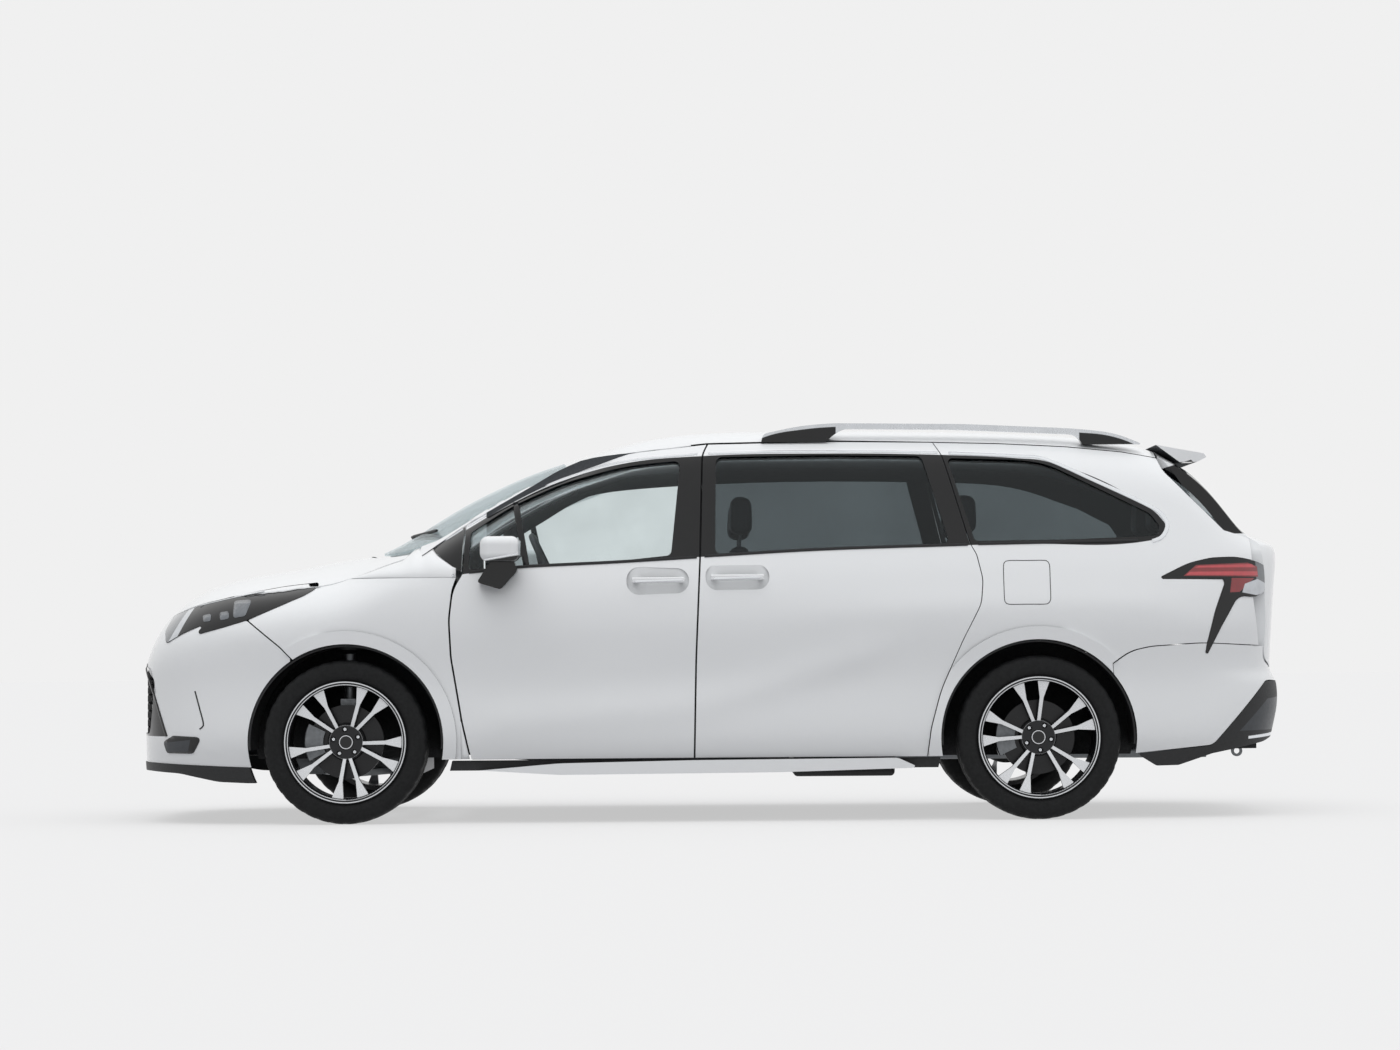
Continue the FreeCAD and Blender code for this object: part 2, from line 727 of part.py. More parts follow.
def roof():
    """Roof skin with the pillars and rails over the doors."""
    sheet = skin(from_roof_turn, spread(-1345, 2060, 25), spread(-67, 67, 23), ROOF_WALL)
    line = [(-1300, 1178), (-1235, 1225)] + [(x, door_top(x) + PANEL_GAP) for x in (-1090, -905, -672, -392, -15, 540)]
    line += [(x, top_line(x) - ROOF_SEAM + SEAM_GAP) for x in (1002, 1300, 1600, 1850)]
    line += [(2008, top_line(2008) - ROOF_SEAM + SEAM_GAP), (2008, 1950), (-1300, 1950)]
    pillar = sheet.common(plan_prism(both(grow(SCREEN_EDGE[1:-1], PILLAR_WIDTH, (-1000, 0))), 1150, 1900))
    pillar = pillar.common(box(-1260, -500, -1200, 1200, 1150, 1700))
    sheet = sheet.common(side_prism(line, -1200, 1200)).fuse(pillar)
    glass_block = plan_prism(both(grow(SCREEN_EDGE[1:-1], 3, (-1000, 0))), 900, 1900)
    save("roof_frame", sheet.cut(glass_block))

    rail_line = [(232, 1690), (240, 1728, 30), (400, 1762, 900), (551, 1774, 900), (1144, 1766, 3000),
                 (1652, 1742, 3000), (1821, 1722, 600), (1945, 1672, 20), (1940, 1640), (1690, 1650), (1650, 1716, 60),
                 (1083, 1742, 3000), (600, 1748, 900), (560, 1722, 60), (520, 1690)]
    rail = side_prism(rail_line, -655, -615).cut(sheet)
    rail = rail.common(box(0, 2100, -700, -600, 1670, 1800))
    rail = drop_slivers(rail)
    save_both("roof_rails", rail)


def gate_skin(zs, wall, proud=0.0):
    return skin(from_behind, spread(-0.88, 0.88, 17), zs, wall, proud)


def gate_outline(gap=0.0):
    """The tailgate seen from behind (y, z), or the opening round it with a gap."""
    side = [(-600, 662 - gap, 40), (-735 - gap, 702 - gap, 60), (-762 - gap, 968, 300), (-752 - gap, 1180, 60),
            (-700 - gap, 1290, 60), (-655 - gap, 1500, 600), (-622 - gap, 1664 + gap, 10)]
    return both_seen_along(side)


def tailgate():
    lower = gate_skin([640, 700, 790, 880, 960, 1040, 1110, 1160, 1195, 1215,
                       1232, 1250, 1275, 1330, 1420, 1510, 1600, 1690], 55)
    gate = lower.common(front_prism(gate_outline(), 1800, 2800))
    hole = front_prism(both_seen_along([(-610, 1288, 50), (-560, 1560, 50)]), 1800, 2800)
    gate = gate.cut(hole).cut(box(1900, GATE_HINGE_X + PANEL_GAP, -900, 900, 1200, 1900))
    spoiler = side_prism([(2014, 1668), (2230, 1628, 6), (2242, 1612, 4), (2200, 1590, 40), (2120, 1590)], -612, 612)
    sheet = gate_skin(spread(1250, 1620, 9), GLASS_WALL + 3, -3)
    save("rear_glass", sheet.common(hole))
    plate = box(REAR - 34, REAR - 20, -PLATE_WIDTH / 2, PLATE_WIDTH / 2, PLATE_Z - 76, PLATE_Z + 76)
    plate = plate.cut(gate)
    holes = []
    for y in (-PLATE_SPACING_Y / 2, PLATE_SPACING_Y / 2):
        for z in (-PLATE_SPACING_Z / 2, PLATE_SPACING_Z / 2):
            holes.append(Part.makeCylinder(PLATE_HOLE_RADIUS, 100, Vector(REAR - 90, y, PLATE_Z + z), Vector(1, 0, 0)))
    save("rear_plate", plate.cut(holes))
    save("tailgate", gate.cut(holes).fuse(spoiler))


def bumper_form(x, y, z):
    tail = x - bumper_line(z) + 0.00009 * y * y
    return smooth_max(side_form(x, y, z), tail, 330)


def rear_end():
    angles = spread(2, 178, 29)
    heights = [215, 250, 290, 340, 400, 460, 520, 570, 610, 645, 680, 720, 790]
    slab = skin(from_rear_turn, angles, heights, BUMPER_WALL, 0.0, bumper_form)
    arch = cylinder_y(ARCH_RADIUS, REAR_AXLE, TYRE_RADIUS, -1300, 1300)
    edge = [(1885, 291), (2215, 324, 60), (2473, 606, 30), (2800, 606)]
    seam = [(p[0] + SEAM_GAP, p[1] - SEAM_GAP) + tuple(p[2:]) for p in REAR_SEAM]
    bumper = slab.common(side_prism(edge + [(2800, seam[0][1])] + seam + [(1800, SILL_HEIGHT)], -1300, 1300)).cut(arch)
    lamp_gap = widened(TAIL_LAMP, SEAM_GAP / 2, -1300, -480)
    bumper = bumper.cut(lamp_gap).cut(mirrored(lamp_gap)).cut(front_prism(gate_outline(PANEL_GAP), 1990, 2800))
    save("rear_bumper", bumper)
    low_edge = [(2800, 602), (2473, 602, 30), (2215, 320, 60), (1885, 287), (1893, 276), (1965, 232, 20),
                (2062, 234, 20), (2212, 284, 100), (2463, 332, 100), (2535, 359), (2800, 380)]
    valance = slab.common(side_prism(low_edge, -1300, 1300)).cut(arch)
    save("rear_valance", valance)
    ring = cylinder_y(25, 2378, 284, -507, -493)
    stem = box(2340, 2372, -507, -493, 290, FLOOR_BOTTOM)
    ring = ring.fuse(stem).cut(cylinder_y(TOW_EYE_RADIUS, 2378, 284, -520, -480)).cut(valance)
    save("tow_eye", ring.cut(box(2300, 2450, -600, -400, FLOOR_BOTTOM, FLOOR_TOP)))


def quarters():
    panel, glass = quarter_panel()
    band = arch_band(REAR_AXLE, REAR_AXLE - ARCH_RADIUS - ARCH_BAND, REAR_AXLE + ARCH_RADIUS, SILL_HEIGHT)
    keep = [(p[0] + SEAM_GAP,) + tuple(p[1:]) for p in SLIDE_REAR]
    outline = list(reversed(keep)) + [(1500, 1640)] + REAR_SEAM[1:] + [(1800, SILL_HEIGHT)]
    band = band.common(side_prism(outline))
    panel = panel.fuse(band).cut(widened(TAIL_LAMP, SEAM_GAP / 2, -1300, -480))
    save_both("quarter_panels", panel)
    save_both("quarter_glass", glass)
    lamp = skin(from_rear_turn, spread(10, 66, 14), spread(670, 1180, 11), 60)
    lamp = lamp.common(side_prism(TAIL_LAMP, -1300, -480))
    lamp = lamp.cut(front_prism(gate_outline(PANEL_GAP), 1990, 2800))
    save_both("tail_lamps", lamp)


def doors():
    """Front and sliding doors with their glass, handles and mirrors."""
    panel, glass = front_door()
    screen = plan_prism(both(grow(SCREEN_EDGE[1:-1], PILLAR_WIDTH + PANEL_GAP, (-1000, 0))), 1150, 1900)
    panel = panel.cut(screen)
    save_pair("front_door", panel.fuse(handle(-350, -115, 1054, 1080)))
    save_pair("front_door_glass", glass)
    mirror_unit(panel.fuse(glass))
    panel, glass = sliding_door()
    save_both("sliding_doors", panel.fuse(handle(-2, 236, 1064, 1090)))
    save_both("sliding_glass", glass)


def mirror_unit(panel):
    head = rounded_box(-1011, -836, -1168, -990, 1150, 1262, 38)
    foot = side_prism([(-1030, 1062, 10), (-925, 1030, 20), (-850, 1112, 20), (-872, 1170, 10), (-960, 1170, 10)],
                      -1040, -925)
    save_pair("mirror", drop_slivers(head.fuse(foot.cut(panel))))


def tyre():
    half = TYRE_WIDTH / 2
    bead = RIM_RADIUS + RIM_LIP + 6
    points = [(RIM_RADIUS - 8, -half + 14), (RIM_RADIUS - 8, half - 14), (bead, half - 14), (bead + 16, half - 3),
              (bead + 40, half), (TYRE_RADIUS - 6, half - 18), (TYRE_RADIUS, half - 40),
              (TYRE_RADIUS, -half + 40), (TYRE_RADIUS - 6, -half + 18), (bead + 40, -half),
              (bead + 16, -half + 3), (bead, -half + 14)]
    wire = outline_wire(points, lambda r, out: Vector(r, -out, 0))
    return Part.Face(wire).revolve(Vector(0, 0, 0), Vector(0, 1, 0), 360)


def turned(points):
    """A solid of revolution about the wheel's axle from (radius, out) points."""
    wire = outline_wire(points, lambda r, out: Vector(r, -out, 0))
    return Part.Face(wire).revolve(Vector(0, 0, 0), Vector(0, 1, 0), 360)


def polar(radius, angle):
    a = math.radians(angle)
    return radius * math.sin(a), radius * math.cos(a)


def spoke(angle, lean):
    """One spoke of a pair, narrow at the hub and flaring to the rim."""
    inner = polar(SPOKE_ROOT, angle + lean * 7.0)
    outer = polar(RIM_RADIUS - 10, angle + lean * SPOKE_SPREAD / 2)
    dx, dz = outer[0] - inner[0], outer[1] - inner[1]
    length = math.hypot(dx, dz)
    dx, dz = dx / length, dz / length

    def at(share, side):
        return (inner[0] + dx * share * length - dz * side, inner[1] + dz * share * length + dx * side)

    points = [at(0, -7), at(0.62, -8.5), at(1, -SPOKE_FLARE / 2), at(1, SPOKE_FLARE / 2), at(0.62, 8.5), at(0, 7)]
    wire = outline_wire(points, lambda a, b: Vector(a, -130, b))
    return Part.Face(wire).extrude(Vector(0, 120, 0))


def rim(phase):
    lip = TYRE_WIDTH / 2 - 12
    outer = RIM_RADIUS - 8
    barrel = turned([(outer, -lip), (outer, lip), (RIM_RADIUS + RIM_LIP, lip, 3), (RIM_RADIUS + RIM_LIP, lip + 7, 3),
                     (outer - 4, lip + 7, 3), (outer - RIM_WALL - 3, lip - 12), (outer - RIM_WALL, -lip + 6),
                     (outer - 2, -lip - 7), (RIM_RADIUS + RIM_LIP, -lip - 7, 3), (RIM_RADIUS + RIM_LIP, -lip, 3)])
    dish = turned([(0, 38), (HUB_RADIUS, 38), (outer - 3, 72), (outer - 3, 101), (HUB_RADIUS + 20, 72, 60), (HUB_RADIUS - 10, 64), (0, 64)])
    spokes = []
    for pair in range(SPOKE_PAIRS):
        for lean in (-1, 1):
            spokes.append(spoke(phase + pair * 360.0 / SPOKE_PAIRS, lean))
    blank = spokes[0].fuse(spokes[1:]).common(dish)
    hub = turned([(0, 36), (HUB_RADIUS, 36), (HUB_RADIUS, 58, 6), (HUB_RADIUS - 10, 64), (CAP_RADIUS + 2, 64),
                  (CAP_RADIUS, 67, 2), (0, 69)])
    hub = hub.fuse(blank)
    for lug in range(SPOKE_PAIRS):
        x, z = polar(LUG_CIRCLE / 2, phase + (lug + 0.5) * 360.0 / SPOKE_PAIRS)
        hub = hub.cut(Part.makeCylinder(LUG_HOLE_RADIUS, 60, Vector(x, -100, z), Vector(0, 1, 0)))
    return barrel.fuse(hub)


def brake_disc():
    """Disc with its hat and the hub that it turns with."""
    return turned([(0, -28), (48, -28), (48, -18), (DISC_RADIUS, -18), (DISC_RADIUS, -18 + DISC_THICKNESS),
                   (86, -18 + DISC_THICKNESS), (80, 37), (0, 37)])


def caliper(angle):
    """Brake caliper that straddles the disc's edge."""
    body = turned([(104, -42), (188, -42, 6), (188, 30, 6), (104, 30)])
    slot = turned([(90, -24), (DISC_RADIUS + 6, -24), (DISC_RADIUS + 6, 16), (90, 16)])
    half = 26.0
    x0, z0 = polar(400, angle - half)
    x1, z1 = polar(400, angle + half)
    wedge = outline_wire([(0, 0), (x0, z0), (x1, z1)], lambda a, b: Vector(a, -80, b))
    return body.cut(slot).common(Part.Face(wedge).extrude(Vector(0, 160, 0)))


def placed(shape, axle, side):
    """Put a left wheel's piece at its axle, or its mirror image on the right."""
    shape = shape.copy()
    shape.translate(Vector(axle, -HALF_TRACK, TYRE_RADIUS))
    return shape if side < 0 else mirrored(shape)


def wheels():
    rubber = tyre()
    disc = brake_disc()
    for axle, end, phase in ((FRONT_AXLE, "front", 31.0), (REAR_AXLE, "rear", -8.0)):
        wheel = rim(phase).fuse(disc)
        for side, name in ((-1, "left"), (1, "right")):
            save("tyre_" + end + "_" + name, placed(rubber, axle, side))
            save("rim_" + end + "_" + name, placed(wheel, axle, side))


def running_gear():
    """Knuckles, arms and the rear axle, each on the left and mirrored."""
    king_out = KINGPIN_Y - HALF_TRACK
    upright = box(-34, 34, -(king_out + 16), -(king_out - 24), -118, 190)
    arm = box(-26, 26, -(king_out + 16), HALF_TRACK - STRUT_Y + 20, 150, 190)
    tube = Part.makeCylinder(27, 230, Vector(0, HALF_TRACK - STRUT_Y, 160))
    boss = turned([(0, -36), (56, -36), (56, king_out - 10), (0, king_out - 10)])
    steer = box(20, 140, -(king_out - 4), -(king_out - 22), -70, -46)
    bridge = box(-150, -20, -(king_out + 16), -(king_out - 10), -14, 26)
    knuckle = upright.fuse([arm, tube, boss, steer, bridge])
    brake = caliper(-90)
    knuckle = knuckle.cut(turned([(0, -33), (DISC_RADIUS + 6, -33), (DISC_RADIUS + 6, 100), (0, 100)]))
    knuckle = knuckle.fuse(brake)
    for side, name in ((-1, "left"), (1, "right")):
        save("knuckle_" + name, placed(knuckle, FRONT_AXLE, side))

    lower = plan_prism([(FRONT_AXLE - 150, -380), (FRONT_AXLE - 26, -KINGPIN_Y - 20, 20),
                        (FRONT_AXLE + 26, -KINGPIN_Y - 20, 20), (FRONT_AXLE + 170, -380)], 205, 232)
    frame = box(FRONT_AXLE - 300, FRONT_AXLE + 300, -385, 385, 205, 275)
    frame = frame.cut(box(FRONT_AXLE - 200, FRONT_AXLE + 200, -260, 260, 200, 300))
    save("front_subframe", frame.fuse([lower, mirrored(lower)]))

    beam = Part.makeCylinder(37, 2 * 650, Vector(REAR_AXLE - 170, -650, 338), Vector(0, 1, 0))
    side_arm = side_prism([(REAR_AXLE - 430, 330, 30), (REAR_AXLE - 430, 395, 30), (REAR_AXLE + 50, 410, 40),
                           (REAR_AXLE + 50, 305, 40), (REAR_AXLE - 200, 290, 60)], -715, -650)
    stub = Part.makeCylinder(46, HALF_TRACK - 36 - 650, Vector(REAR_AXLE, -(HALF_TRACK - 36), TYRE_RADIUS), Vector(0, 1, 0))
    side_arm = side_arm.fuse(stub)
    brake = placed(caliper(-90), REAR_AXLE, -1)
    bracket = box(REAR_AXLE - 150, REAR_AXLE, -(HALF_TRACK - 34), -(HALF_TRACK - 60), TYRE_RADIUS - 20, TYRE_RADIUS + 20)
    side_arm = side_arm.fuse([brake, bracket])
    save("rear_axle", beam.fuse([side_arm, mirrored(side_arm)]))


def wheelhouses():
    shells = []
    for axle, inner in ((FRONT_AXLE, 600), (REAR_AXLE, 735)):
        shell = cylinder_y(ARCH_RADIUS - 4, axle, TYRE_RADIUS, -945, -inner)
        shell = shell.cut(cylinder_y(ARCH_RADIUS - 12, axle, TYRE_RADIUS, -960, -inner + 1))
        shell = shell.cut(box(axle - 600, axle + 600, -1300, 0, -200, 330))
        shells += shell.Solids
    tower = Part.makeCylinder(70, 150, Vector(FRONT_AXLE, -STRUT_Y, 770))
    shells[0] = shells[0].fuse(tower)
    save_both("wheelhouses", Part.makeCompound(shells))


def underbody():
    half_floor = [(-1150, -840), (940, -840), (940, -640), (1935, -640), (1935, -820), (2440, -690)]
    wall = box(-1200, -1150, -800, 800, FLOOR_BOTTOM, 1050)
    wall = wall.cut(cylinder_y(ARCH_RADIUS, FRONT_AXLE, TYRE_RADIUS, -1000, -595))
    wall = wall.cut(cylinder_y(ARCH_RADIUS, FRONT_AXLE, TYRE_RADIUS, 595, 1000))
    x = REAR_AXLE - 170
    pan = plan_prism(both(half_floor), FLOOR_BOTTOM, FLOOR_TOP).fuse(wall)
    pan = pan.fuse(box(x - 62, x + 62, -640, 640, FLOOR_TOP - 5, FLOOR_TOP + 55))
    save("floor_pan", pan.cut(box(x - 50, x + 50, -700, 700, FLOOR_BOTTOM - 5, FLOOR_TOP + 43)))
    sill = side_prism([(-1160, 232), (1000, 232), (1010, SILL_HEIGHT - 8), (-1150, SILL_HEIGHT - 8)], -915, -845)
    save_both("sills", sill)
    blade = side_prism([(-1026, 234), (-673, 263, 900), (-64, 273, 2000), (818, 277, 60), (899, 240, 20), (880, 232),
                        (294, 217, 900), (-673, 212, 900)], -978, -918)
    save_both("side_skirts", blade)
    save("engine_block", rounded_box(-2200, -1480, -340, 340, 330, 880, 20))
    save("fuel_tank", rounded_box(368, 826, -560, 260, 184, FLOOR_BOTTOM - 2, 20))
    pipe = Part.makeCylinder(32, 1500, Vector(860, 420, 262), Vector(1, 0, 0))
    save("exhaust", pipe)
    cowl = plan_prism(both([(-1612, -340), (-1420, -625), (-1310, -735), (-1225, -700), (-1352, -590), (-1506, -330)]), 1060, 1110)
    save("cowl_panel", cowl)


def seat(x, y, half):
    """A seat with its cushion, back and headrest, on two runners."""
    cushion = side_prism([(x - 500, FLOOR_TOP + 190, 40), (x - 510, FLOOR_TOP + 340, 50), (x, FLOOR_TOP + 300, 30),
                          (x + 40, FLOOR_TOP + 190, 30)], y - half, y + half)
    back = side_prism([(x - 30, FLOOR_TOP + 302, 20), (x + 110, FLOOR_TOP + 900, 60), (x + 210, FLOOR_TOP + 890, 50),
                       (x + 130, FLOOR_TOP + 250, 40), (x + 45, FLOOR_TOP + 230)], y - half + 10, y + half - 10)
    head = side_prism([(x + 100, FLOOR_TOP + 930, 30), (x + 115, FLOOR_TOP + 1120, 40), (x + 210, FLOOR_TOP + 1110, 40),
                       (x + 215, FLOOR_TOP + 925, 30)], y - 130, y + 130)
    post = box(x + 145, x + 165, y - 60, y + 60, FLOOR_TOP + 860, FLOOR_TOP + 950)
    base = box(x - 440, x - 20, y - half + 60, y + half - 60, FLOOR_TOP, FLOOR_TOP + 195)
    return cushion.fuse([back, head, post, base])


def interior():
    for x, name in ((-20, "front"), (1000, "second")):
        save_both("seats_" + name, seat(x, -400, 255))
    bench = seat(1900, -300, 302)
    save("seats_third", bench.fuse(mirrored(bench)))
    dash = side_prism([(-1148, 700), (-1148, 1060, 20), (-860, 1060, 50), (-800, 960, 40), (-830, 760, 60),
                       (-960, 700, 60)], -800, 800)
    way = Vector(math.cos(math.radians(WHEEL_TILT)), 0, math.sin(math.radians(WHEEL_TILT)))
    centre = Vector(STEERING_X, STEERING_Y, STEERING_Z)
    dash = dash.cut(Part.makeCylinder(60, 600, centre - way * 600, way))
    save("dashboard", dash)
    column = Part.makeCylinder(34, 380, centre - way * 440, way)
    save("steering_column", column)
    ring = Part.makeTorus(182, 15, centre, way)
    hub = Part.makeCylinder(55, 40, centre - way * 50, way)
    arm = box(-10, 10, -175, 175, -12, 12)
    arm.rotate(Vector(0, 0, 0), Vector(0, 1, 0), -WHEEL_TILT)
    arm.translate(centre - way * 12)
    save("steering_wheel", ring.fuse([hub, arm]))


front_end()
pillar_trim()
glazing()
roof()
tailgate()
rear_end()
quarters()
doors()
wheels()
running_gear()
wheelhouses()
underbody()
interior()
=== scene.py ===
import json
import math

import bmesh
import bpy
from mathutils import Matrix, Vector
from mathutils.bvhtree import BVHTree


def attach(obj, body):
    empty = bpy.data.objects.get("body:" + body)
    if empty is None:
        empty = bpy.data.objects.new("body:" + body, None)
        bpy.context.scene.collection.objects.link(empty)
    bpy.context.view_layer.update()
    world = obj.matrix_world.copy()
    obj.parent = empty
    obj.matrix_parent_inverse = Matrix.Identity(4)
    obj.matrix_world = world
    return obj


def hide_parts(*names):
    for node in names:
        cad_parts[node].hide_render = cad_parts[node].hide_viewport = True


# The minivan's looks, in metres: X rearwards, Y to the car's right, Z up.

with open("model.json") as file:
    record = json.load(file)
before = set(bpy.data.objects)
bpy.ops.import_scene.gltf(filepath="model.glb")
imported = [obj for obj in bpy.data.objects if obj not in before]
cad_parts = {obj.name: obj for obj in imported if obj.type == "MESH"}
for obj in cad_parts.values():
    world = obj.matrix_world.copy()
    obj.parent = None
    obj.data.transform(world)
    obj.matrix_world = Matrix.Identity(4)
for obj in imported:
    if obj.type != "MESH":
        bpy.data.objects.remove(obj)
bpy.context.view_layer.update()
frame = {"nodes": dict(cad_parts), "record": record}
NODES = frame["nodes"]

FRONT_AXLE = -1.6175
REAR_AXLE = 1.4425
AXLE_Z = 0.362
WHEEL_Y = 0.8675
TYRE_W = 0.235
SIDES = ((-1, "left"), (1, "right"))
# End of the car, axle, angle of the spokes in degrees
AXLES = (("front", FRONT_AXLE, 31.0), ("rear", REAR_AXLE, -8.0))

scene = bpy.context.scene
scene.view_settings.view_transform = "Standard"


# Materials
def srgb(*values):
    """Linear colour of an 8-bit screen colour."""
    made = []
    for v in values:
        c = v / 255.0
        made.append(c / 12.92 if c <= 0.04045 else ((c + 0.055) / 1.055) ** 2.4)
    return tuple(made) + (1.0,)


class Nodes:
    """A small helper to wire a node tree."""

    def __init__(self, tree):
        self.tree = tree
        tree.nodes.clear()

    def add(self, kind, **values):
        node = self.tree.nodes.new(kind)
        for key, value in values.items():
            if hasattr(node, key):
                setattr(node, key, value)
            else:
                node.inputs[key.replace("_", " ")].default_value = value
        return node

    def link(self, a, b):
        self.tree.links.new(a, b)

    def blend(self, share, a, b):
        """Shader a where share is 0 and shader b where it is 1."""
        mix = self.add("ShaderNodeMixShader")
        self.link(share, mix.inputs["Fac"])
        self.link(a, mix.inputs[1])
        self.link(b, mix.inputs[2])
        return mix.outputs["Shader"]

    def show(self, kind, shader):
        """Ends the tree in an output node of a kind."""
        self.link(shader, self.add(kind).inputs["Surface"])


def new_material(name):
    made = bpy.data.materials.new(name)
    made.use_nodes = True
    return made, Nodes(made.node_tree)


def noise(n, coords, scale, detail=3.0):
    tex = n.add("ShaderNodeTexNoise", Scale=scale, Detail=detail)
    n.link(coords, tex.inputs["Vector"])
    return tex.outputs["Fac"]


def ranged(n, value, start, end, low=0.0, high=1.0, **more):
    """A value carried over from start..end to low..high, and held at both ends."""
    node = n.add("ShaderNodeMapRange", From_Min=start, From_Max=end, To_Min=low, To_Max=high, **more)
    n.link(value, node.inputs["Value"])
    return node.outputs["Result"]


def spread_of(n, fac, low, high):
    return ranged(n, fac, 0.3, 0.7, low, high)


def tone(n, fac, colour, change):
    """A colour that drifts a little lighter and darker with fac."""
    ramp = n.add("ShaderNodeValToRGB")
    ramp.color_ramp.elements[0].position = 0.3
    ramp.color_ramp.elements[1].position = 0.7
    ramp.color_ramp.elements[0].color = tuple(c * (1 - change) for c in colour[:3]) + (1.0,)
    ramp.color_ramp.elements[1].color = tuple(min(c * (1 + change), 1.0) for c in colour[:3]) + (1.0,)
    n.link(fac, ramp.inputs["Fac"])
    return ramp.outputs["Color"]


class Place:
    """Object coordinates and normal, as sockets."""

    def __init__(self, n):
        coords = n.add("ShaderNodeTexCoord")
        self.point = coords.outputs["Object"]
        spot = n.add("ShaderNodeSeparateXYZ")
        n.link(self.point, spot.inputs["Vector"])
        self.x, self.y, self.z = (spot.outputs[axis] for axis in "XYZ")
        facing = n.add("ShaderNodeSeparateXYZ")
        n.link(coords.outputs["Normal"], facing.inputs["Vector"])
        self.nx, self.ny, self.nz = (facing.outputs[axis] for axis in "XYZ")


def finish(n, coords, colour, rough, metal=0.0, coat=0.0, grain=40.0, change=0.06, bump=0.0, bump_scale=400.0,
           specular=0.5, relief=None):
    """A shader whose colour, roughness and height all come from noise in the object's own space."""
    shader = n.add("ShaderNodeBsdfPrincipled", Metallic=metal, Coat_Weight=coat, Coat_Roughness=0.03,
                   Specular_IOR_Level=specular)
    broad = noise(n, coords, grain)
    n.link(tone(n, broad, colour, change), shader.inputs["Base Color"])
    uneven = spread_of(n, noise(n, coords, grain * 2.3), rough * 0.85, rough * 1.15)
    n.link(uneven, shader.inputs["Roughness"])
    if bump:
        height = n.add("ShaderNodeBump", Strength=1.0, Distance=bump)
        n.link(noise(n, coords, bump_scale, 2.0), height.inputs["Height"])
        n.link(height.outputs["Normal"], shader.inputs["Normal"])
    if relief:
        fold = n.add("ShaderNodeBump", Distance=1.0)
        n.link(relief(n, coords), fold.inputs["Height"])
        n.link(fold.outputs["Normal"], shader.inputs["Normal"])
        n.link(fold.outputs["Normal"], shader.inputs["Coat Normal"])
    return shader.outputs["BSDF"]


def layered(name, base, *layers):
    """One finish with others laid over it, each where its own mask is 1."""
    made, n = new_material(name)
    at = Place(n)
    shown = finish(n, at.point, **base)
    for look, mask in layers:
        shown = n.blend(mask(n, at), shown, finish(n, at.point, **look))
    n.show("ShaderNodeOutputMaterial", shown)
    return made


# Masks
def calc(n, operation, *values):
    node = n.add("ShaderNodeMath", operation=operation)
    for i, value in enumerate(values):
        if isinstance(value, (int, float)):
            node.inputs[i].default_value = value
        else:
            n.link(value, node.inputs[i])
    return node.outputs[0]


def times(n, a, b):
    return calc(n, "MULTIPLY", a, b)


def minus(n, a, b):
    return calc(n, "SUBTRACT", a, b)


def size_of(n, a):
    return calc(n, "ABSOLUTE", a)


def over(n, value, edge=0.0, blur=0.0012):
    """0 below an edge and 1 above it."""
    return ranged(n, value, edge - blur, edge + blur)


def inside(*corners, outer=0.0):
    """Mask of a convex outline of (x, z) corners, where the piece lies further out than a given |y|."""
    def mask(n, at):
        middle = sum((Vector(c) for c in corners), Vector((0, 0))) / len(corners)
        depth = None
        for i, corner in enumerate(corners):
            a = Vector(corner)
            b = Vector(corners[(i + 1) % len(corners)])
            normal = Vector((a.y - b.y, b.x - a.x)).normalized()
            if (middle - a).dot(normal) < 0:
                normal = -normal
            part = calc(n, "MULTIPLY_ADD", at.x, normal.x, -a.dot(normal))
            here = calc(n, "MULTIPLY_ADD", at.z, normal.y, part)
            depth = here if depth is None else calc(n, "MINIMUM", depth, here)
        if outer:
            depth = calc(n, "MINIMUM", depth, minus(n, size_of(n, at.y), outer))
        return over(n, depth)
    return mask


def line_height(n, x, points):
    """Height at x of a line through (x, z) points."""
    x0, x1 = points[0][0], points[-1][0]
    node = n.add("ShaderNodeFloatCurve")
    line = node.mapping.curves[0]
    placed = [((px - x0) / (x1 - x0), pz / 2.0) for px, pz in points]
    line.points[0].location = placed[0]
    line.points[1].location = placed[-1]
    for place in placed[1:-1]:
        line.points.new(*place)
    node.mapping.update()
    n.link(ranged(n, x, x0, x1), node.inputs["Value"])
    return times(n, node.outputs[0], 2.0)


WINDOW_LOW = [(-1.245, 1.203), (-1.132, 1.095), (-1.085, 1.100), (-0.840, 1.126), (-0.432, 1.145),
              (-0.042, 1.168), (0.496, 1.195), (1.154, 1.212), (1.374, 1.216), (1.930, 1.224), (1.994, 1.243),
              (2.030, 1.292)]
WINDOW_TOP = [(-1.245, 1.203), (-1.080, 1.309), (-0.886, 1.420), (-0.658, 1.523), (-0.384, 1.598),
              (-0.039, 1.629), (0.502, 1.637), (1.048, 1.626), (1.382, 1.608), (1.503, 1.594), (1.963, 1.372),
              (2.015, 1.318), (2.030, 1.292)]


def window_band(n, at):
    """The belt of windows and black pillars along each side."""
    above = minus(n, at.z, line_height(n, at.x, WINDOW_LOW))
    below = minus(n, line_height(n, at.x, WINDOW_TOP), at.z)
    return over(n, calc(n, "MINIMUM", above, below), 0.0015)


def inner_face(n, at):
    """Faces that look into the car."""
    side = times(n, at.y, at.ny)
    height = times(n, times(n, minus(n, at.z, 0.95), at.nz), 0.8)
    length = times(n, times(n, at.x, at.nx), 0.15)
    total = calc(n, "ADD", side, calc(n, "ADD", height, length))
    return over(n, times(n, total, -1.0), 0.03, 0.01)


def roof_inner(n, at):
    """Inner faces of the roof, but for its front edges beside the windscreen, which are seen from outside."""
    edge = times(n, over(n, size_of(n, at.y), 0.40),
                over(n, times(n, at.x, -1.0), 0.080))
    return times(n, inner_face(n, at), minus(n, 1.0, edge))


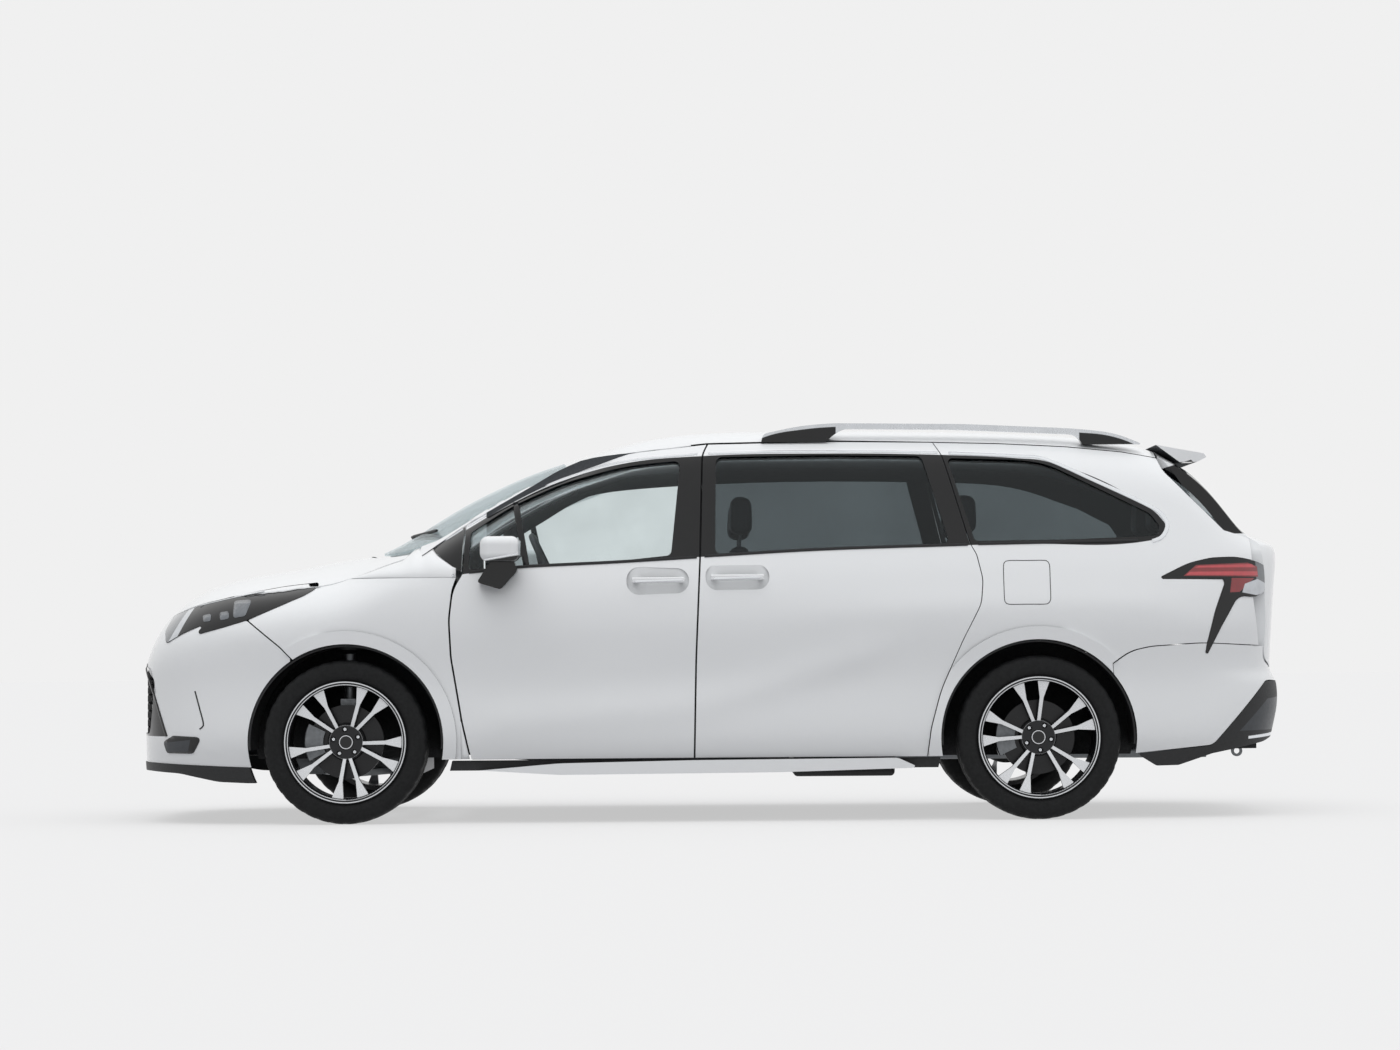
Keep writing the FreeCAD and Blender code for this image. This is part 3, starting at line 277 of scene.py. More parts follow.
def below_line(a, b):
    """Mask under the straight line through two (x, z) points."""
    slope = (b[1] - a[1]) / (b[0] - a[0])

    def mask(n, at):
        line = calc(n, "MULTIPLY_ADD", at.x, slope, a[1] - a[0] * slope)
        return over(n, minus(n, line, at.z))
    return mask


RAIL_TOP = [(0.227, 1.723), (0.295, 1.745), (0.398, 1.761), (0.551, 1.774), (0.804, 1.772), (1.144, 1.764),
            (1.652, 1.742), (1.821, 1.720), (1.948, 1.668)]


def rail_foot(n, at):
    """The rails' black feet, under the bright bar."""
    under = minus(n, minus(n, line_height(n, at.x, RAIL_TOP), at.z), 0.017)
    ends = minus(n, size_of(n, minus(n, at.x, 1.116)), 0.548)
    return over(n, calc(n, "MINIMUM", under, ends))


def glass(name, tint, shine, rough):
    """Window glass: tinted see-through with a mirror-like outside."""
    made, n = new_material(name)
    coords = n.add("ShaderNodeTexCoord").outputs["Object"]
    clear = n.add("ShaderNodeBsdfTransparent")
    n.link(tone(n, noise(n, coords, 3.0), tint, 0.03), clear.inputs["Color"])
    gloss = n.add("ShaderNodeBsdfGlossy", Color=(0.9, 0.95, 0.97, 1.0))
    n.link(spread_of(n, noise(n, coords, 9.0), rough, rough * 1.6), gloss.inputs["Roughness"])
    fresnel = n.add("ShaderNodeFresnel", IOR=1.45)
    gain = n.add("ShaderNodeMath", operation="MULTIPLY_ADD", use_clamp=True)
    gain.inputs[1].default_value = 0.6
    gain.inputs[2].default_value = shine
    n.link(fresnel.outputs["Fac"], gain.inputs[0])
    n.show("ShaderNodeOutputMaterial",
           n.blend(gain.outputs[0], clear.outputs["BSDF"], gloss.outputs["BSDF"]))
    return made


# Folds of the body side: their line, where they rise and fade along x, their depth and width
FOLDS = (
    ([(-1.300, 0.430), (-1.150, 0.440), (-0.600, 0.478), (-0.040, 0.528), (0.230, 0.596), (0.500, 0.680),
      (0.700, 0.742), (0.950, 0.812)], (-1.150, -0.900), (0.640, 0.900), 0.008, 0.080),
    ([(0.100, 0.905), (0.700, 0.930), (1.150, 0.950), (1.600, 0.955), (2.100, 0.940)],
     (0.150, 0.900), (1.900, 2.150), 0.006, 0.070),
)


def side_folds(n, coords):
    """Height of the folds that run along the doors and over the rear wheel."""
    spot = n.add("ShaderNodeSeparateXYZ")
    n.link(coords, spot.inputs["Vector"])
    x, z = spot.outputs["X"], spot.outputs["Z"]
    total = None
    for line, start, end, deep, wide in FOLDS:
        near = calc(n, "DIVIDE", minus(n, z, line_height(n, x, line)), wide)
        bell = calc(n, "EXPONENT", times(n, times(n, near, near), -1.0))
        rise = over(n, x, (start[0] + start[1]) / 2, (start[1] - start[0]) / 2)
        fall = over(n, x, (end[0] + end[1]) / 2, (end[1] - end[0]) / 2)
        along = times(n, rise, minus(n, 1.0, fall))
        part = times(n, times(n, bell, along), deep)
        total = part if total is None else calc(n, "ADD", total, part)
    return total


PEARL = dict(colour=srgb(230, 232, 233), rough=0.34, coat=0.8, grain=1100.0, change=0.02)
BLACK = dict(colour=srgb(10, 11, 13), rough=0.10, coat=0.15, grain=30.0, change=0.15, specular=0.4)
MATTE = dict(colour=srgb(24, 25, 27), rough=0.55, grain=90.0, change=0.15, bump=0.0002)
TRIM = dict(colour=srgb(50, 53, 57), rough=0.65, grain=80.0, change=0.1, bump=0.0003, bump_scale=300.0)
SILVER = dict(colour=srgb(216, 219, 222), rough=0.26, metal=0.45, grain=25.0, change=0.04)
CHROME = dict(colour=srgb(236, 239, 242), rough=0.12, metal=0.7, grain=12.0, change=0.03)
SATIN = dict(colour=srgb(62, 65, 69), rough=0.38, metal=0.3, grain=40.0, change=0.08)
LAMP = dict(colour=srgb(12, 13, 15), rough=0.10, coat=0.25, grain=18.0, change=0.2, specular=0.4)
SMOKE = dict(colour=srgb(104, 108, 112), rough=0.16, coat=0.9, grain=22.0, change=0.12)
LENS = dict(colour=srgb(196, 200, 204), rough=0.14, coat=1.0, grain=30.0, change=0.08)
RED = dict(colour=srgb(128, 22, 30), rough=0.12, coat=1.0, grain=26.0, change=0.12)
BRIGHT_RED = dict(colour=srgb(188, 62, 70), rough=0.12, coat=1.0, grain=26.0, change=0.08)


body_paint = layered("pearl_white_paint", PEARL, (TRIM, inner_face))
side_paint = layered("pearl_with_black_pillars", dict(PEARL, relief=side_folds), (BLACK, window_band),
                     (TRIM, inner_face))
gate_paint = layered("pearl_with_black_corners", PEARL, (TRIM, inner_face),
                     (BLACK, inside((2.028, 1.556), (2.172, 1.600), (2.520, 1.262), (2.300, 1.262),
                                    outer=0.5)))
roof_paint = layered("pearl_roof", PEARL, (TRIM, roof_inner))
plain_paint = layered("pearl_plain", PEARL)
nose_paint = layered("pearl_with_black_grille_frame", PEARL,
                     (BLACK, inside((-2.600, 0.716), (-2.549, 0.714), (-2.425, 0.390), (-2.600, 0.390))),
                     (TRIM, inner_face))
mirror_paint = layered("mirror_shell", PEARL, (BLACK, below_line((-1.011, 1.150), (-0.836, 1.178))))
gloss_black = layered("gloss_black", BLACK)
matte_black = layered("matte_black_plastic", MATTE)
underbody = layered("underbody_coating", dict(colour=srgb(30, 31, 33), rough=0.8, grain=60.0, change=0.2,
                                              bump=0.0006, bump_scale=180.0))
steel = layered("bare_steel", dict(colour=srgb(120, 123, 126), rough=0.42, metal=0.9, grain=50.0, change=0.12,
                                   bump=0.0002))
silver = layered("satin_silver", SILVER)
rail_paint = layered("rail_silver_and_black", SILVER, (BLACK, rail_foot))
chrome = layered("chrome", CHROME)
mirror_glass = layered("mirror_glass", dict(colour=srgb(200, 206, 210), rough=0.02, metal=1.0, grain=6.0,
                                            change=0.02))
leather = layered("seat_leather", dict(colour=srgb(44, 45, 49), rough=0.5, grain=120.0, change=0.12,
                                       bump=0.0004, bump_scale=260.0))
trim_grey = layered("cabin_trim", TRIM)
rubber = layered("tyre_rubber", dict(colour=srgb(20, 21, 22), rough=0.62, grain=35.0, change=0.2,
                                     bump=0.0003, bump_scale=500.0, specular=0.25))
lamp_glass = layered("lamp_lens", LAMP)
projector = layered("projector_bezel", dict(colour=srgb(120, 124, 129), rough=0.2, metal=0.6, coat=0.5,
                                            grain=60.0, change=0.15))
headlamp = layered("headlamp_glass", LAMP,
                   (SMOKE, inside((-2.470, 0.950), (-2.3475, 0.950), (-2.4266, 0.800), (-2.470, 0.800))),
                   (LENS, inside((-2.346, 0.955), (-2.316, 0.964), (-2.378, 0.835), (-2.4266, 0.806))))
tail_lamp = layered("tail_lamp_glass", LAMP,
                    (SMOKE, inside((2.428, 1.150), (2.560, 1.150), (2.560, 0.960), (2.432, 0.960))),
                    (RED, inside((2.092, 1.070), (2.150, 1.118), (2.390, 1.128), (2.436, 1.112),
                                 (2.440, 1.066))),
                    (BRIGHT_RED, inside((2.142, 1.106), (2.160, 1.114), (2.410, 1.122), (2.428, 1.108))),
                    (BRIGHT_RED, inside((2.104, 1.074), (2.120, 1.088), (2.436, 1.090), (2.438, 1.072))),
                    (RED, inside((2.310, 1.060), (2.420, 1.060), (2.383, 1.029), (2.345, 0.998),
                                 (2.300, 0.996))),
                    (LENS, inside((2.372, 1.034), (2.436, 1.056), (2.486, 1.034), (2.468, 0.994),
                                  (2.427, 0.984), (2.358, 0.996))))
fog_paint = layered("fog_pocket", BLACK,
                    (SATIN, inside((-2.446, 0.362), (-2.312, 0.376), (-2.325, 0.322), (-2.440, 0.318))))
valance_paint = layered("valance", MATTE,
                        (SATIN, inside((2.340, 0.382), (2.481, 0.523), (2.640, 0.540), (2.640, 0.386),
                                       outer=0.42)),
                        (CHROME, inside((2.383, 0.346), (2.640, 0.366), (2.640, 0.382), (2.383, 0.358))))
clear_glass = glass("clear_glass", (0.905, 0.93, 0.932, 1.0), 0.0, 0.01)
dark_glass = glass("privacy_glass", (0.52, 0.55, 0.56, 1.0), 0.005, 0.01)


# Radii of the wheel's painted rings, and how far out its turned faces start
HUB_EDGE = 0.074
RIM_EDGE = 0.2555
LIP_R = 0.2655
CAP_R = 0.0345
RING_R = 0.0285
WHEEL_FACE_Y = 0.921


def machined_wheel():
    """Bright turned faces that look outwards, dark paint everywhere else, and a dark cap with a ring."""
    def from_axle(n, at):
        middle = (FRONT_AXLE + REAR_AXLE) / 2
        from_middle = size_of(n, minus(n, at.x, middle))
        along = minus(n, from_middle, REAR_AXLE - middle)
        up = minus(n, at.z, AXLE_Z)
        return calc(n, "SQRT", calc(n, "ADD", times(n, along, along), times(n, up, up)))

    def far_out(n, at):
        return over(n, size_of(n, at.y), WHEEL_FACE_Y, 0.002)

    def turned_face(n, at):
        outwards = over(n, size_of(n, at.ny), 0.86, 0.05)
        past_hub = over(n, from_axle(n, at), HUB_EDGE, 0.0015)
        before_rim = minus(n, 1.0, over(n, from_axle(n, at), RIM_EDGE, 0.001))
        band = times(n, past_hub, before_rim)
        return times(n, times(n, outwards, far_out(n, at)), band)

    def circle(radius, half, blur):
        def mask(n, at):
            off = size_of(n, minus(n, from_axle(n, at), radius))
            return times(n, minus(n, 1.0, over(n, off, half, blur)), far_out(n, at))
        return mask

    def cap(n, at):
        return minus(n, 1.0, over(n, from_axle(n, at), CAP_R, 0.0006))

    dark = dict(colour=srgb(20, 21, 24), rough=0.32, metal=0.3, coat=0.2, grain=45.0, change=0.12,
                specular=0.4)
    bright = dict(colour=srgb(226, 228, 230), rough=0.25, metal=0.45, grain=300.0, change=0.04)
    return layered("two_tone_alloy", dark, (bright, turned_face), (bright, circle(LIP_R, 0.0022, 0.0006)),
                   (BLACK, cap), (bright, circle(RING_R, 0.0016, 0.0005)))


alloy = machined_wheel()

FINISH = {
    "body_paint": body_paint, "gloss_black": gloss_black, "matte_black": matte_black, "underbody": underbody,
    "steel": steel, "silver_trim": silver, "seat_leather": leather, "tyre_rubber": rubber,
    "lamp_lens": lamp_glass, "clear_glass": clear_glass, "dark_glass": dark_glass, "wheel_alloy": alloy,
}
OWN_FINISH = {
    "front_door_left": side_paint, "front_door_right": side_paint, "sliding_doors": side_paint,
    "quarter_panels": side_paint, "roof_frame": roof_paint, "front_bumper": nose_paint,
    "tailgate": gate_paint, "mirror_left": mirror_paint, "mirror_right": mirror_paint,
    "roof_rails": rail_paint, "headlamps": headlamp, "tail_lamps": tail_lamp,
    "rear_valance": valance_paint, "dashboard": trim_grey,
}
SLOT_OF = {p["node"]: p["material_slot"] for p in frame["record"]["subparts"]}


for name, node in NODES.items():
    node.data.materials.clear()
    node.data.materials.append(OWN_FINISH.get(name, FINISH[SLOT_OF[name]]))
    for polygon in node.data.polygons:
        polygon.use_smooth = True


# Shape helpers
def placed(name, mesh, material, body, smooth=True, slot=None):
    """A mesh as a piece that rides on a body."""
    obj = bpy.data.objects.new(name, mesh)
    scene.collection.objects.link(obj)
    mesh.materials.append(material)
    for polygon in mesh.polygons:
        polygon.use_smooth = smooth
    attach(obj, body)
    return obj


def new_object(name, verts, faces, material, body, smooth=True, slot=None):
    mesh = bpy.data.meshes.new(name)
    mesh.from_pydata([tuple(v) for v in verts], [], faces)
    mesh.update()
    return placed(name, mesh, material, body, smooth, slot)


def joined_rows(name, groups, material, body, slot=None):
    """Closed bars in one piece: each is a group of rows of equal length, joined and capped."""
    verts = []
    faces = []
    for rows in groups:
        base = len(verts)
        size = len(rows[0])
        verts += [v for row in rows for v in row]
        for i in range(len(rows) - 1):
            for j in range(size):
                k = (j + 1) % size
                faces.append([base + i * size + j, base + i * size + k,
                              base + (i + 1) * size + k, base + (i + 1) * size + j])
        faces.append([base + j for j in range(size)][::-1])
        faces.append([base + (len(rows) - 1) * size + j for j in range(size)])
    return new_object(name, verts, faces, material, body, slot=slot)


def swept(name, rows, material, body, slot=None):
    return joined_rows(name, [rows], material, body, slot)


def tree_of(*names):
    """Search tree over several CAD nodes."""
    verts = []
    faces = []
    for name in names:
        mesh = NODES[name].data
        base = len(verts)
        verts += [v.co.copy() for v in mesh.vertices]
        faces += [[base + i for i in p.vertices] for p in mesh.polygons]
    return BVHTree.FromPolygons(verts, faces)


side_tree = tree_of("front_door_left", "front_door_right", "front_door_glass_left", "front_door_glass_right",
                    "sliding_doors", "sliding_glass", "quarter_panels", "quarter_glass", "fenders",
                    "roof_frame", "front_bumper", "rear_bumper", "headlamps", "tail_lamps", "pillar_trims",
                    "side_skirts")


def on_side(x, z, side, tree=side_tree):
    """Point and outward direction of the body side at (x, z); side is -1 on the left."""
    for dx, dz in ((0, 0), (0, 0.006), (0, -0.006), (0.006, 0), (-0.006, 0), (0.012, 0.012),
                   (-0.012, -0.012)):
        hit, normal, _, _ = tree.ray_cast(Vector((x + dx, side * 1.4, z + dz)), Vector((0, -side, 0)), 1.3)
        if hit is not None and abs(hit.y) > 0.35:
            if normal.y * side < 0:
                normal = -normal
            return Vector((x, hit.y, z)), normal
    return None


def curve_points(points, gap):
    """Even points along a smooth open line through a few (a, b) points."""
    pts = [Vector(p) for p in points]
    if len(pts) == 2:
        dense = [pts[0].lerp(pts[1], i / 40) for i in range(41)]
    else:
        ext = [pts[0] * 2 - pts[1]] + pts + [pts[-1] * 2 - pts[-2]]
        dense = []
        for i in range(1, len(ext) - 2):
            a, b, c, d = ext[i - 1], ext[i], ext[i + 1], ext[i + 2]
            for k in range(16):
                t = k / 16
                dense.append(0.5 * ((2 * b) + (c - a) * t + (2 * a - 5 * b + 4 * c - d) * t * t
                                    + (3 * b - a - 3 * c + d) * t ** 3))
        dense.append(pts[-1])
    total = sum((q - p).length for p, q in zip(dense, dense[1:]))
    count = max(2, int(total / gap))
    made = []
    walked = 0.0
    k = 0
    for i in range(count + 1):
        goal = total * i / count
        while k < len(dense) - 2 and walked + (dense[k + 1] - dense[k]).length < goal:
            walked += (dense[k + 1] - dense[k]).length
            k += 1
        step = (dense[k + 1] - dense[k]).length
        made.append(dense[k].lerp(dense[k + 1], min(max((goal - walked) / step, 0.0), 1.0) if step else 0.0))
    return made


def rounded(points, steps=5):
    """A closed outline from (a, b) or (a, b, radius) corners, with each radius as an arc."""
    made = []
    count = len(points)
    for i, p in enumerate(points):
        here = Vector(p[:2])
        if len(p) < 3:
            made.append(here)
            continue
        back = Vector(points[i - 1][:2]) - here
        on = Vector(points[(i + 1) % count][:2]) - here
        angle = back.angle(on)
        reach = min(p[2] / math.tan(angle / 2), 0.48 * back.length, 0.48 * on.length)
        a = here + back.normalized() * reach
        b = here + on.normalized() * reach
        for k in range(steps + 1):
            t = k / steps
            made.append(a * (1 - t) ** 2 + here * 2 * t * (1 - t) + b * t * t)
    return made


def strip(name, points, width, height, material, body, side, gap=0.02, slot=None, lift=0.0):
    """A raised moulding that follows the body side along a line of (x, z) points."""
    line = curve_points(points, gap)
    rows = []
    for i, p in enumerate(line):
        at = on_side(p.x, p.y, side)
        if at is None:
            continue
        a = line[max(i - 1, 0)]
        b = line[min(i + 1, len(line) - 1)]
        here, normal = at
        along = Vector((b.x - a.x, 0, b.y - a.y))
        along = (along - normal * along.dot(normal)).normalized()
        across = normal.cross(along).normalized()
        row = []
        for share, rise in ((-0.5, -0.0015), (-0.5, height * 0.55), (-0.32, height), (0.32, height),
                            (0.5, height * 0.55), (0.5, -0.0015)):
            row.append(here + across * (share * width) + normal * (rise + lift))
        rows.append(row)
    return swept(name, rows, material, body, slot)


DRAPE_CELL = 0.02
DRAPE_SINK = 0.003


def drape(name, outline, height, material, body, side, slot=None):
    """A thin panel that lies on the body side inside a closed (x, z) outline."""
    bm = bmesh.new()
    corners = [bm.verts.new((p.x, 0, p.y)) for p in outline]
    bm.faces.new(corners)
    xs = [p.x for p in outline]
    zs = [p.y for p in outline]
    for low, high, axis in ((min(xs), max(xs), Vector((1, 0, 0))), (min(zs), max(zs), Vector((0, 0, 1)))):
        count = int((high - low) / DRAPE_CELL)
        for i in range(1, count + 1):
            at = low + (high - low) * i / (count + 1)
            geometry = bm.verts[:] + bm.edges[:] + bm.faces[:]
            bmesh.ops.bisect_plane(bm, geom=geometry, plane_co=axis * at, plane_no=axis, dist=1e-5)
    normals = {}
    for v in bm.verts:
        at = on_side(v.co.x, v.co.z, side)
        if at is None:
            normals[v] = None
            continue
        normals[v] = at[1]
        v.co = at[0] + at[1] * height
    lost = [v for v in bm.verts if normals[v] is None]
    bmesh.ops.delete(bm, geom=lost, context="VERTS")
    rim = [e for e in bm.edges if e.is_boundary]
    made = bmesh.ops.extrude_edge_only(bm, edges=rim)
    low_verts = [g for g in made["geom"] if isinstance(g, bmesh.types.BMVert)]
    for v in low_verts:
        source = [e.other_vert(v) for e in v.link_edges if e.other_vert(v) in normals]
        if source:
            v.co = v.co - normals[source[0]] * (height + DRAPE_SINK)
    bmesh.ops.recalc_face_normals(bm, faces=bm.faces[:])
    mesh = bpy.data.meshes.new(name)
    bm.to_mesh(mesh)
    bm.free()
    return placed(name, mesh, material, body, slot=slot)


# Wheels
def tyre_mesh():
    """Tyre with rounded walls, four grooves and blocks with sipes on its tread."""
    half = TYRE_W / 2
    bead = 0.278
    land_r = 0.3612
    groove_r = 0.3535
    sipe = 0.004
    wall = [(0.257, -half + 0.015), (bead, -half + 0.013), (bead + 0.008, -half + 0.006),
            (bead + 0.018, -half + 0.0015), (bead + 0.030, -half + 0.0008), (bead + 0.042, -half),
            (0.333, -half + 0.001), (0.344, -half + 0.005), (0.3505, -half + 0.009),
            (0.3555, -half + 0.015), (0.3590, -half + 0.024), (0.3605, -half + 0.034)]
    lands = [-0.083, -0.060, -0.0525, -0.029, -0.0205, 0.0205, 0.029, 0.0525, 0.060, 0.083]
    profile = list(wall)
    for i, (a, b) in enumerate(zip(lands, lands[1:])):
        if i % 2:
            profile += [(land_r, a), (groove_r, a + 0.0012), (groove_r, b - 0.0012), (land_r, b)]
        else:
            profile += [(land_r + 0.0004, (a + b) / 2)]
    profile += [(r, -y) for r, y in reversed(wall)]
    count = 144
    verts = []
    for i in range(count):
        angle = 2 * math.pi * i / count
        for r, y in profile:
            cut = sipe if abs(y) > 0.060 and r > 0.350 and i % 4 == 0 else 0.0
            verts.append(((r - cut) * math.sin(angle), y, (r - cut) * math.cos(angle)))
    size = len(profile)
    faces = []
    for i in range(count):
        k = (i + 1) % count
        for j in range(size - 1):
            faces.append([i * size + j, i * size + j + 1, k * size + j + 1, k * size + j])
        faces.append([i * size + size - 1, i * size, k * size, k * size + size - 1])
    return verts, faces


tyre_verts, tyre_faces = tyre_mesh()
for end, axle, _ in AXLES:
    for side, word in SIDES:
        verts = [(x + axle, y + side * WHEEL_Y, z + AXLE_Z) for x, y, z in tyre_verts]
        cover = new_object("tyre_with_tread_%s_%s" % (end, word), verts, tyre_faces, rubber,
                           "wheel_%s_%s" % (end, word), slot="tyre_rubber")
        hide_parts("tyre_%s_%s" % (end, word))


def hex_nut(centre, side, radius, depth):
    """Rows of a chamfered nut that stands out along Y."""
    rows = []
    for share, out in ((0.92, 0.0), (1.0, 0.08), (1.0, 0.72), (0.78, 1.0), (0.30, 1.0), (0.22, 0.80)):
        row = []
        for k in range(12):
            angle = math.pi * k / 6
            flat = 1.0 if k % 2 == 0 else 0.93
            row.append(Vector((centre[0] + radius * share * flat * math.sin(angle),
                               centre[1] + side * depth * out,
                               centre[2] + radius * share * flat * math.cos(angle))))
        rows.append(row)
    return rows


LUG_CIRCLE = 0.1143
for end, axle, phase in AXLES:
    for side, word in SIDES:
        groups = []
        for k in range(5):
            angle = math.radians(phase + (k + 0.5) * 72.0)
            centre = (axle + LUG_CIRCLE / 2 * math.sin(angle), side * (WHEEL_Y + 0.040),
                      AXLE_Z + LUG_CIRCLE / 2 * math.cos(angle))
            groups.append(hex_nut(centre, side, 0.0098, 0.017))
        joined_rows("lug_nuts_%s_%s" % (end, word), groups, chrome, "wheel_%s_%s" % (end, word), "steel")


def soft_bar(name, a, b, width, height, material, body, slot=None, out=Vector((0, 0, 1)), ends=0.4):
    """A straight rounded bar from a to b; width lies across it and height along out."""
    a = Vector(a)
    b = Vector(b)
    along = (b - a).normalized()
    across = along.cross(out).normalized()
    up = across.cross(along).normalized()
    rows = []
    for share, scale in ((0.0, ends), (0.02, 0.8), (0.06, 0.97), (0.12, 1.0), (0.5, 1.0), (0.88, 1.0),
                         (0.94, 0.97), (0.98, 0.8), (1.0, ends)):
        here = a.lerp(b, share)
        row = []
        for k in range(16):
            angle = 2 * math.pi * k / 16
            c, s = math.cos(angle), math.sin(angle)
            c = math.copysign(abs(c) ** 0.55, c)
            s = math.copysign(abs(s) ** 0.55, s)
            row.append(here + across * (c * width / 2 * scale) + up * (s * height / 2 * scale))
        rows.append(row)
    return swept(name, rows, material, body, slot)


# Side trim
TOP_TRIM = [(x, z + 0.008) for x, z in WINDOW_TOP]
CORNER_TRIM = [(-1.137, 1.092), (-1.190, 1.143), (-1.243, 1.199), (-1.246, 1.212), (-1.180, 1.256),
               (-1.106, 1.304)]
SLIDING_TRIM = [(-0.006, 1.638), (0.250, 1.644), (0.502, 1.645), (0.780, 1.641), (1.022, 1.635)]
QUARTER_TRIM = [(1.072, 1.632), (1.382, 1.616), (1.503, 1.601), (1.700, 1.510), (1.960, 1.382),
                (2.020, 1.328), (2.031, 1.290), (2.004, 1.244), (1.960, 1.226)]
BELT_DOOR = [(-1.070, 1.108), (-0.840, 1.131), (-0.432, 1.149), (-0.062, 1.169)]
BELT_SLIDING = [(-0.028, 1.173), (0.496, 1.200), (1.140, 1.217)]
BELT_QUARTER = [(1.186, 1.219), (1.374, 1.222), (1.900, 1.230)]
LAMP_BROW = [(-2.290, 0.972), (-2.093, 1.014), (-1.910, 1.046), (-1.770, 1.062)]
PROJECTORS = (
    [(-2.122, 0.990, 0.012), (-2.040, 0.996, 0.016), (-2.062, 0.922, 0.020), (-2.116, 0.914, 0.012)],
    [(-2.182, 0.938, 0.010), (-2.140, 0.944, 0.012), (-2.136, 0.912, 0.010), (-2.176, 0.904, 0.010)],
    [(-2.262, 0.926, 0.010), (-2.222, 0.934, 0.010), (-2.222, 0.902, 0.008), (-2.254, 0.898, 0.008)],
)
HANDLE_Y = 0.9825
MIRROR_Y = 1.1690
for side, word in SIDES:
    door = "front_door_" + word
    out = Vector((0, side, 0))
    for name, points, width, height, body in (
            ("corner_trim_front_", CORNER_TRIM, 0.011, 0.004, "body"),
            ("window_trim_door_", [(-1.084, 1.317)] + TOP_TRIM[2:5] + [(-0.055, 1.637)], 0.012, 0.004, door),
            ("window_trim_sliding_", SLIDING_TRIM, 0.012, 0.004, "body"),
            ("window_trim_quarter_", QUARTER_TRIM, 0.018, 0.004, "body")):
        strip(name + word, points, width, height, chrome, body, side, slot="silver_trim")
    for name, points, body in (
            ("belt_seal_door_", BELT_DOOR, door), ("belt_seal_sliding_", BELT_SLIDING, "body"),
            ("belt_seal_quarter_", BELT_QUARTER, "body")):
        strip(name + word, points, 0.013, 0.004, matte_black, body, side, slot="matte_black", lift=0.001)
    y = side * HANDLE_Y
    soft_bar("handle_strip_front_" + word, (-0.338, y, 1.0625), (-0.127, y, 1.0675), 0.008, 0.004, chrome,
             door, "silver_trim", out)
    soft_bar("handle_strip_sliding_" + word, (0.010, y, 1.0725), (0.224, y, 1.0775), 0.008, 0.004, chrome,
             "body", "silver_trim", out)
    y = side * MIRROR_Y
    soft_bar("mirror_strip_" + word, (-0.990, y, 1.158), (-0.842, y, 1.183), 0.006, 0.003, chrome, door,
             "silver_trim", out)
    outline = rounded([(1.006, 1.172, 0.02), (1.152, 1.170, 0.03), (1.154, 1.245, 0.03),
                       (1.004, 1.240, 0.02)])
    rows = []
    for x, grow in ((-0.8365, 1.0), (-0.8345, 0.99), (-0.8340, 0.94)):
        rows.append([Vector((x, side * (1.080 + (p.x - 1.080) * grow), 1.207 + (p.y - 1.207) * grow))
                     for p in outline])
    swept("mirror_pane_" + word, rows, mirror_glass, door, "silver_trim")
    strip("headlamp_brow_" + word, LAMP_BROW, 0.005, 0.003, chrome, "body", side, slot="silver_trim")
    for number, outline in enumerate(PROJECTORS):
        drape("projector_%d_%s" % (number + 1, word), rounded(outline), 0.003, projector, "body", side,
              slot="lamp_lens")


def seam_seal(name, points, depth, side, width):
    """A soft dark seal that lies down in the gap between two panels."""
    line = curve_points(points, 0.04)
    out = Vector((0, side, 0))
    rows = []
    for i, p in enumerate(line):
        a = on_side(p.x - 0.03, p.y, side)
        b = on_side(p.x + 0.03, p.y, side)
        if a is None or b is None:
            continue
        here = (a[0] + b[0]) / 2
        here.x = p.x
        back = line[max(i - 1, 0)]
        on = line[min(i + 1, len(line) - 1)]
        along = Vector((on.x - back.x, 0, on.y - back.y)).normalized()
        across = along.cross(out).normalized()
        row = []
        for share, deep in ((-0.5, 0.0), (-0.2, -0.003), (0.2, -0.003), (0.5, 0.0), (0.5, 0.010),
                            (-0.5, 0.010)):
            row.append(here + across * (share * width) - out * (depth + deep))
        rows.append(row)
    swept(name, rows, matte_black, "body", "matte_black")


# The wedge between the fender's rear foot and the front door
FOOT_LOW = 0.284
FOOT_HEIGHT = 0.166
FOOT_FRONT = -1.109
FOOT_DEEP = 0.016


def foot_panel(name, side):
    """Closes the wedge between the fender's rear foot and the front door."""
    rows = []
    for k in range(9):
        z = FOOT_LOW + FOOT_HEIGHT * k / 8
        door_edge = max(-1.070 - 0.038 * (z - 0.283) / 0.170, FOOT_FRONT + 0.001)
        front = on_side(-1.118, z, side)[0]
        rear = on_side(-1.050, z, side)[0]
        row = []
        for x, deep in ((FOOT_FRONT, 0.0), (door_edge, 0.0), (door_edge, FOOT_DEEP), (FOOT_FRONT, FOOT_DEEP)):
            share = (x + 1.118) / 0.068
            row.append(Vector((x, front.y + (rear.y - front.y) * share - side * deep, z)))
        rows.append(row)
    swept(name, rows, body_paint, "body", "body_paint")


